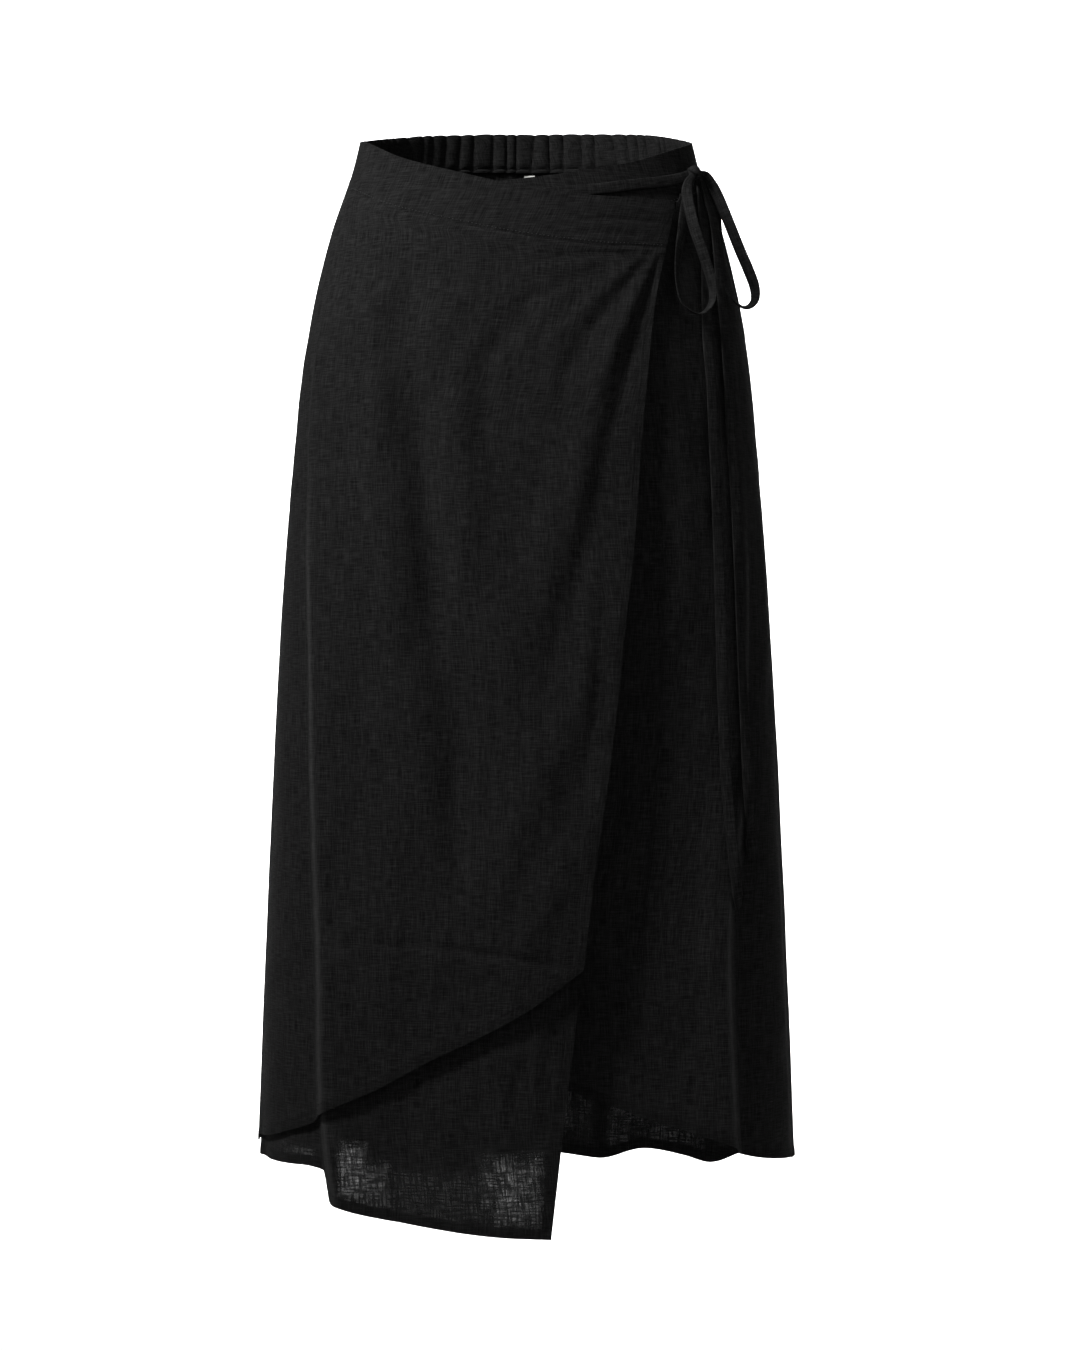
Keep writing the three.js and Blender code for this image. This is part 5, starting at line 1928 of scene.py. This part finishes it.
@dataclass
class Back:
    """The back: the gathered elastic waistband, the panel that hangs from it and the label."""

    linen: bpy.types.Material
    tape: bpy.types.Material
    sewing: Sewing
    band_steps: int = 12  # columns to one gather
    side_gap: float = 0.0004  # the share of the back that is left free at each side seam
    gather_roundness: float = 0.55
    gather_shift: float = 0.4  # how uneven the gathers' widths are
    gather_lean: float = 0.25
    gather_dip: float = 0.8  # how far the top edge sinks between two gathers
    gather_fade: float = 0.03
    stitch_row: tuple[float, float] = (0.9, 0.04)  # where the elastic is sewn, and the groove that it draws
    stitch_pull: float = 0.6
    bottom_pull: tuple[float, float] = (0.35, 0.93)  # how far the seam flattens gathers, and from where
    top_depth: tuple[float, float] = (0.75, 0.12)  # the gathers' depth at the top, and where it is whole
    crease_thickness: float = 1.2
    puff: float = 4.6  # how much more a gather stands out inside than outside
    fullness: float = 1.25  # the cloth in a gather, to its width
    seam_inset: float = 3.4
    seam_points: int = 900
    top_overlap: float = 1.5  # how far the panel runs up behind its waistband
    hem: float = 9.0
    label_across: float = 2.8
    label_width: float = 9.8
    label_top: float = 7.9
    label_length: float = 24.0
    label_thickness: float = 0.5
    label_curl: float = 0.5
    label_curl_drop: float = 14.0

    def band_top(self, angle: Array) -> Array:
        """Returns the height of the back waistband's top edge."""
        return BACK_BAND_TOP.read("angle", angle, "z")

    def waistband(self) -> bpy.types.Object:
        """Makes the gathered waistband, with deep narrow creases between full folds.

        Returns:
            The waistband.
        """
        columns = BAND_GATHERS * self.band_steps + 1
        share = np.clip(np.linspace(0, 1, columns), self.side_gap, 1 - self.side_gap)
        draw = np.random.default_rng(SEED_GATHERS)
        drop = spread(((0, 3), (0.08, 12), (0.9, 4), (1, 0)))[None]
        angle = (LEFT_SEAM + BACK_SPAN * share)[:, None]
        top = self.band_top(angle)
        folds = np.arange(BAND_GATHERS + 1)
        bend, lean = (
            np.interp(share * BAND_GATHERS, folds, draw.uniform(-most, most, BAND_GATHERS + 1))[:, None]
            for most in (self.gather_shift, self.gather_lean)
        )
        phase = np.pi * (BAND_GATHERS * share[:, None] + bend + lean * (drop - 0.5))
        full = np.abs(np.sin(phase)) ** self.gather_roundness
        sides = (ease(share, 0, self.gather_fade) * ease(1 - share, 0, self.gather_fade))[:, None]
        row, groove = self.stitch_row
        stitched = 1 - self.stitch_pull * np.exp(-(((drop - row) / groove) ** 2))
        pull, start = self.bottom_pull
        stitched = stitched - pull * ease(drop, start, 1.0)
        shallow, whole = self.top_depth
        swell = BAND_GATHER_DEPTH * full * sides * stitched * mix(shallow, 1, ease(drop, 0, whole))
        z = mix(top - (1 - full) * self.gather_dip * sides, top - BACK_BAND_HEIGHT + SEAM_GAP / 2, drop)
        sunk = BAND_GATHER_DEPTH - swell
        outer = place(smooth_form, angle, z, sunk)
        inner = place(smooth_form, angle, z, self.crease_thickness + self.puff * swell + sunk)
        flat = np.stack([distances(inner, 0) * self.fullness, z], -1)
        plain = np.zeros_like(z)
        piece = wall("back_waistband_cloth", outer, inner, flat, {"hem": plain, "open": plain})
        dress(piece, self.linen, Slot.LINEN, "back_waistband")
        return piece

    def seam_stitches(self) -> bpy.types.Object:
        """Sews the row that holds the elastic, on the band's inner face.

        Returns:
            The row of stitches.
        """
        angle = LEFT_SEAM + BACK_SPAN * np.linspace(0.02, 0.98, self.seam_points)
        z = self.band_top(angle) - BACK_BAND_HEIGHT + self.seam_inset
        line = place(smooth_form, angle, z, self.crease_thickness + 2.5 * BAND_GATHER_DEPTH)
        inward = unit(-np.stack([line[:, 0], line[:, 1], np.zeros(len(line))], -1))
        return self.sewing.row("elastic_seam_stitches", line, inward)

    def panel(self) -> Panel:
        """Describes the back panel.

        Returns:
            The panel.
        """
        return Panel(
            "back_panel_cloth",
            "back_panel",
            back_panel,
            lambda z: np.full(np.shape(z), LEFT_SEAM + BACK_SPAN * self.side_gap),
            lambda z: np.full(np.shape(z), LEFT_SEAM + BACK_SPAN * (1 - self.side_gap)),
            lambda angle: self.band_top(angle) - BACK_BAND_HEIGHT + self.top_overlap,
            lambda angle: BACK_HEM.read("across", plan(angle, BACK_HEM_AT + 0 * angle)[0], "z"),
            ((0, 240), (1, 0)),
            ((0, 60), (0.25, 100), (0.985, 8), (1, 0)),
            flat=(0.78, 0.90),
            area=0.62,
            held=Held.GATHERED,
            rests_on=("back_waistband_cloth",),
            hem=self.hem,
            top_seam=0.0,
            openings=BACK_OPENINGS,
        )

    def label(self) -> bpy.types.Object:
        """Makes the bare label, which hangs from the band's seam inside.

        Returns:
            The label.
        """
        across = self.label_across + self.label_width * (0.5 - np.linspace(0, 1, 13))[:, None]
        z = self.label_top - self.label_length * np.linspace(0, 1, 25)[None]
        half_width = SECTIONS.read("z", z, "half_width")
        angle = 180 - np.degrees(np.arcsin(across / half_width))
        from_middle = 2 * np.abs(across - self.label_across) / self.label_width
        curl = self.label_curl * ease(-z, 0, self.label_curl_drop) * from_middle**2
        depth = CLOTH + 2 * SEAM_GAP + curl
        outer, inner = (place(back_panel, angle, z, depth + more) for more in (0.0, self.label_thickness))
        flat = np.stack(np.broadcast_arrays(across, z), -1)
        plain = np.zeros(flat.shape[:2])
        piece = wall("bare_label", outer, inner, flat, {"hem": plain, "open": plain})
        dress(piece, self.tape, Slot.LABEL, "label")
        return piece

    def build(self) -> None:
        """Builds the back."""
        self.waistband()
        self.seam_stitches()
        panel = self.panel()
        panel.build(self.linen)
        self.sewing.row("back_hem_stitches", *panel.hem_line(7.8))
        self.label()


def main() -> None:
    """Sets up the studio and builds the skirt, piece by piece."""
    logging.basicConfig(level=logging.INFO, format="%(message)s")
    studio = Studio()
    studio.camera()
    linen, thread, tape = Linen().material(), Thread().material(), Tape().material()
    band_thread = Thread("cotton_topstitching_thread", "#161616", "#3c3c3c").material()
    sewing, band_sewing = Sewing(thread), Sewing(band_thread, length=1.5, width=0.7, pitch=3.4)
    Bow(linen).build()
    Front(linen, sewing, band_sewing).build()
    Back(linen, tape, sewing).build()
    studio.sweep()
    studio.light()


if __name__ == "__main__":
    main()
